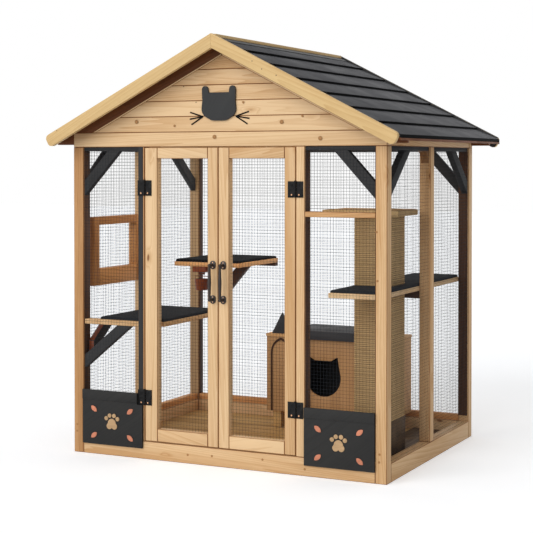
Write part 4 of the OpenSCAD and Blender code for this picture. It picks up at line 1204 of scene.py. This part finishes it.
def ribbed_slab(name, low, high, fabric):
    """Board wrapped in the ribbed matting."""
    bm = bmesh.new()
    crest = bm.verts.layers.float.new("crest")
    weave = bm.loops.layers.uv.new("weave")
    size = high - low
    steps = [round(size[0] / SLAB_STEP), round(size[1] / (fabric.rib / 3)), 6]
    box = Matrix.Translation((low + high) / 2) @ Matrix.Diagonal((*size, 1))
    bmesh.ops.create_cube(bm, size=1.0, matrix=box)
    for axis, normal in enumerate(Matrix.Identity(3)):
        for i in range(1, steps[axis]):
            point = low.copy()
            point[axis] = low[axis] + size[axis] * i / steps[axis]
            parts = bm.verts[:] + bm.edges[:] + bm.faces[:]
            bmesh.ops.bisect_plane(bm, geom=parts, plane_co=point, plane_no=normal)
    for v in bm.verts:
        wave = rib_wave(v.co.y, SLAB_SWAY * waver(v.co, SLAB_WAVES), fabric)
        v[crest] = wave
        on_face = min(min(v.co[k] - low[k], high[k] - v.co[k]) for k in (0, 1, 2)) < ON_FACE
        core = Vector([max(low[k] + SLAB_CORNER, min(high[k] - SLAB_CORNER, v.co[k])) for k in (0, 1, 2)])
        out = v.co - core
        reach = SLAB_CORNER - fabric.rib_depth * SLAB_DEPTH * (1 - wave)
        if on_face and out.length > reach:
            v.co = core + out.normalized() * reach
    for face in bm.faces:
        # Faces that look up get the darker matting, painted shade on the platform's top
        face.material_index = 1 if face.normal.z > 0.7 else 0
        at_end = max((0, 1, 2), key=lambda k: abs(face.normal[k])) == 0
        for loop in face.loops:
            c = loop.vert.co
            loop[weave].uv = (c.z, c.y) if at_end else (c.x, c.y + c.z)
    bm.normal_update()
    return mesh_of(bm, name, ["sisal", "shaded_sisal_top"], 60)


class ENCLOSURE_OT_column(bpy.types.Operator):
    """Wrap the scratching column and its platform in matting"""

    bl_idname = "enclosure.column"
    bl_label = "Scratching column"

    def execute(self, context):
        fabric = settings("fabric")
        # The column's foot gets the same dark wood, painted shade
        dress("column_plinth", "shade_wood")
        dress("column_core", rounding=0)
        sleeve = sleeve_mesh("column_matting_ribs", solids("column_matting"), fabric)
        settle(sleeve, "frame", ["column_matting"])
        low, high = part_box("top_platform")
        settle(ribbed_slab("top_platform_ribs", low, high, fabric), "frame", ["top_platform"])
        return {"FINISHED"}


class ENCLOSURE_OT_house(bpy.types.Operator):
    """Dress the sleeping house"""

    bl_idname = "enclosure.house"
    bl_label = "Sleeping house"

    def execute(self, context):
        low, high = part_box("house_box")
        middle = (low + high) / 2

        def shade_inside(i, face):
            """Second finish, black paint that stands for the shade inside the house, for the faces that look
            into it.
            """
            centre = face.calc_center_median()
            inward = face.normal.dot(middle - centre) > 0.01
            return 1 if inward and centre.z < high.z - 0.005 else 0

        dress("house_bearers", "floor_wood")
        dress("house_box", "house_wood", rounding=0.0015, pick_face=shade_inside, more=["black_paint"])
        dress("house_front", "front_wood", rounding=0.0015, along=(0, 0, 1))
        dress("house_arch_trim", "dark_stain", rounding=0.0008, along=(0, 0, 1))
        dress("house_roof", "roof_paint", rounding=0.002)
        return {"FINISHED"}


class ENCLOSURE_OT_cup(bpy.types.Operator):
    """Dress the hanging cup and its block"""

    bl_idname = "enclosure.cup"
    bl_label = "Hanging cup"

    def execute(self, context):
        dress("cup_block", "red_wood", rounding=0.0015)
        dress("hanging_cup", "red_wood", rounding=0.0006, along=(0, 0, 1))
        return {"FINISHED"}


# Knots and nails of the front, in metres to the right of the middle and up from the floor
KNOT_RISE = 0.0006
NAIL_RISE = 0.0005
LARGE = 1.7
BASE_KNOTS = ((-0.174, 0.039), (-0.051, 0.045), (0.199, 0.053), (0.401, 0.030))
LEFT_POST_KNOTS = ((-0.762, 0.129), (-0.762, 0.098))
RIGHT_POST_KNOTS = ((0.745, 0.125), (0.743, 0.092), (0.730, 1.057), (0.735, 0.852))
GABLE_KNOTS = ((-0.238, 1.512), (0.391, 1.547), (0.107, 1.611))
LARGE_KNOTS = ((-0.436, 1.532), (0.292, 1.523), (-0.036, 1.461), (0.474, 1.451))
GABLE_NAILS = ((-0.191, 1.686), (-0.128, 1.615))
VERGE_NAILS = ((-0.801, 1.494), (0.200, 1.781), (0.246, 1.746), (0.314, 1.717))


class ENCLOSURE_OT_marks(bpy.types.Operator):
    """Set knots and nail heads in the timber of the front"""

    bl_idname = "enclosure.marks"
    bl_label = "Knots and nails"

    def execute(self, context):
        timber = settings("timber")
        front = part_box("corner_posts")[0].y
        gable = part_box("gable_boards")[0].y
        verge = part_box("bargeboards")[0].y
        knots = [(x, front, z) for x, z in BASE_KNOTS + LEFT_POST_KNOTS + RIGHT_POST_KNOTS]
        knots += [(x, gable, z) for x, z in GABLE_KNOTS]
        studs("knots", "frame", knots, timber.knot_radius, KNOT_RISE, "knot_wood")
        large = [(x, gable, z) for x, z in LARGE_KNOTS]
        studs("large_knots", "frame", large, LARGE * timber.knot_radius, KNOT_RISE, "knot_wood")
        nails = [(x, verge, z) for x, z in VERGE_NAILS] + [(x, gable, z) for x, z in GABLE_NAILS]
        studs("nails", "frame", nails, timber.nail_radius, NAIL_RISE, "nail")
        return {"FINISHED"}


# Places of the screws in the hinge leaves and the handles
SCREW_RISE = 0.0016
PIN_INSET = 0.0045
HINGE_REACH = 0.0173
HINGE_DROP = 0.0231
HINGE_SINK = 0.0003
HANDLE_ENDS = 0.0187
HANDLE_PAIR = 0.0105
HANDLE_SINK = 0.003


class ENCLOSURE_OT_ironwork(bpy.types.Operator):
    """Paint the hinges and handles and set their screws"""

    bl_idname = "enclosure.ironwork"
    bl_label = "Ironwork"

    def execute(self, context):
        metal = settings("metal")
        for node in ("hinge_plates", "hinge_pins", "left_door_hinges", "right_door_hinges", "hatch_straps"):
            dress(node, "black_iron", rounding=0.0004)
        for node in ("left_handle", "right_handle"):
            dress(node, "bronze", rounding=0.0004)
        screws = {"fixed": [], "left": [], "right": []}
        for low, high in (extent(faces) for faces in solids("hinge_plates")[:4]):
            middle = (low + high) / 2
            side = 1 if middle[0] > 0 else -1
            pin = low[0] + PIN_INSET if side > 0 else high[0] - PIN_INSET
            place = (middle[1] - HINGE_SINK, middle[2] - HINGE_DROP)
            screws["fixed"].append((pin + side * HINGE_REACH, *place))
            screws["right" if side > 0 else "left"].append((pin - side * HINGE_REACH, *place))
        for side, points in screws.items():
            body = "frame" if side == "fixed" else side + "_door"
            studs(side + "_hinge_screws", body, points, metal.hinge_screw, SCREW_RISE, "screw")
        for node in ("left_handle", "right_handle"):
            low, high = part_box(node)
            x = (low.x + high.x) / 2
            ends = (low.z + HANDLE_ENDS, high.z - HANDLE_ENDS)
            heights = [z + lift for z in ends for lift in (-HANDLE_PAIR, HANDLE_PAIR)]
            points = [(x, high.y - HANDLE_SINK, z) for z in heights]
            name = node + "_screws"
            studs(name, body_of(node), points, metal.handle_screw, SCREW_RISE, "screw")
        return {"FINISHED"}


SUN_COLOUR = (1.0, 0.985, 0.96)
SUN_SIDE = (-0.35, -1.0, 0.45)
INNER_COLOUR = (1.0, 0.9, 0.76)
INNER_PLACE = (0.0, -0.04, 1.46)
INNER_SIZE = (1.2, 0.9)
SKY_COLOUR = (1.0, 0.98, 0.95)
WHITE = (1.0, 1.0, 1.0)
SENSOR = 36.0
FAR = 200.0


def add_object(name, data):
    """Links an object to the scene."""
    item = bpy.data.objects.new(name, data)
    bpy.context.scene.collection.objects.link(item)
    return item


def add_floor(stage):
    """Pale floor, which looks paler to the camera and in reflections than the lamps make it."""
    half = stage.floor_size / 2
    mesh = bpy.data.meshes.new("floor")
    corner_points = [(-half, -half, 0), (half, -half, 0), (half, half, 0), (-half, half, 0)]
    mesh.from_pydata(corner_points, [], [(0, 1, 2, 3)])
    material, net, shader = new_material("Pale floor")
    rays = net.node("ShaderNodeLightPath").outputs
    seen = net.math("MAXIMUM", rays["Is Camera Ray"], rays["Is Glossy Ray"])
    net.put(shader, "Base Color", stage.floor_shade)
    net.put(shader, "Roughness", 0.9)
    net.put(shader, "Specular IOR Level", 0.1)
    net.put(shader, "Emission Color", WHITE)
    net.put(shader, "Emission Strength", net.times(seen, stage.floor_glow))
    mesh.materials.append(material)
    floor = add_object("floor", mesh)


def add_lamps(stage):
    """Soft lamp from the front left, and a soft light under the roof."""
    lamp = bpy.data.lights.new("sun", "SUN")
    lamp.energy = stage.sun
    lamp.angle = stage.sun_width
    lamp.color = SUN_COLOUR
    add_object("sun", lamp).rotation_euler = Vector(SUN_SIDE).to_track_quat("Z", "Y").to_euler()
    inner = bpy.data.lights.new("inner", "AREA")
    inner.shape = "RECTANGLE"
    inner.size, inner.size_y = INNER_SIZE
    inner.energy = stage.inner
    inner.color = INNER_COLOUR
    soft = add_object("inner", inner)
    soft.location = INNER_PLACE
    soft.visible_camera = False
    soft.visible_glossy = False


def add_sky(stage):
    """Light from all round, with white behind the object."""
    world = bpy.data.worlds.new("studio")
    world.use_nodes = True
    net = Net(world.node_tree)
    rays = net.node("ShaderNodeLightPath").outputs
    mirrored = net.math("MAXIMUM", rays["Is Glossy Ray"], rays["Is Transmission Ray"])
    plain = net.math("MAXIMUM", rays["Is Camera Ray"], mirrored)
    ambient = net.node("ShaderNodeBackground", {"Color": SKY_COLOUR, "Strength": stage.sky})
    white = net.node("ShaderNodeBackground", {"Color": WHITE, "Strength": 1.0})
    mixed = net.node("ShaderNodeMixShader", {0: plain, 1: ambient.outputs[0], 2: white.outputs[0]})
    net.put(world.node_tree.nodes["World Output"], "Surface", mixed.outputs[0])
    bpy.context.scene.world = world


def add_camera(stage):
    """Camera with a shifted view, so that upright lines stay nearly parallel."""
    camera = bpy.data.cameras.new("camera")
    camera.lens = stage.lens
    camera.sensor_width = SENSOR
    camera.shift_y = stage.shift
    camera.clip_end = FAR
    eye = add_object("camera", camera)
    eye.location = stage.eye
    eye.rotation_euler = (math.pi / 2 - stage.pitch, 0.0, stage.azimuth)
    bpy.context.scene.camera = eye


class ENCLOSURE_OT_stage(bpy.types.Operator):
    """Set up the floor, the lamps and the camera"""

    bl_idname = "enclosure.stage"
    bl_label = "Stage"

    def execute(self, context):
        for add in (add_floor, add_lamps, add_sky, add_camera):
            add(settings("stage"))
        context.scene.view_settings.view_transform = "Standard"
        return {"FINISHED"}


OPERATORS = (
    ENCLOSURE_OT_walls,
    ENCLOSURE_OT_floor,
    ENCLOSURE_OT_panels,
    ENCLOSURE_OT_gable,
    ENCLOSURE_OT_roof,
    ENCLOSURE_OT_wire,
    ENCLOSURE_OT_doors,
    ENCLOSURE_OT_shelves,
    ENCLOSURE_OT_mats,
    ENCLOSURE_OT_column,
    ENCLOSURE_OT_house,
    ENCLOSURE_OT_cup,
    ENCLOSURE_OT_ironwork,
    ENCLOSURE_OT_marks,
    ENCLOSURE_OT_stage,
)

GROUPS = {
    "timber": TimberSettings,
    "paint": PaintSettings,
    "metal": MetalSettings,
    "wire": WireSettings,
    "fabric": FabricSettings,
    "stage": StageSettings,
}


class ENCLOSURE_PT_panel(bpy.types.Panel):
    """Lists the enclosure's operators and settings"""

    bl_idname = "ENCLOSURE_PT_panel"
    bl_label = "Enclosure"
    bl_space_type = "VIEW_3D"
    bl_region_type = "UI"
    bl_category = "Enclosure"

    def draw(self, context):
        for part in GROUPS:
            box = self.layout.box()
            box.label(text=part.capitalize())
            group = settings(part)
            for name in group.__annotations__:
                box.prop(group, name)
        for operator in OPERATORS:
            self.layout.operator(operator.bl_idname)


def register():
    for part, group in GROUPS.items():
        bpy.utils.register_class(group)
        setattr(bpy.types.Scene, "enclosure_" + part, PointerProperty(type=group))
    for item in (*OPERATORS, ENCLOSURE_PT_panel):
        bpy.utils.register_class(item)


def unregister():
    for item in (ENCLOSURE_PT_panel, *reversed(OPERATORS)):
        bpy.utils.unregister_class(item)
    for part, group in GROUPS.items():
        delattr(bpy.types.Scene, "enclosure_" + part)
        bpy.utils.unregister_class(group)


def corners(bounds):
    """Bounds as plain lists of numbers."""
    return [[float(c) for c in corner] for corner in bounds]


def main():
    """Builds everything in order."""
    register()
    for operator in OPERATORS:
        group, name = operator.bl_idname.split(".")
        getattr(getattr(bpy.ops, group), name)()


if __name__ == "__main__":
    main()
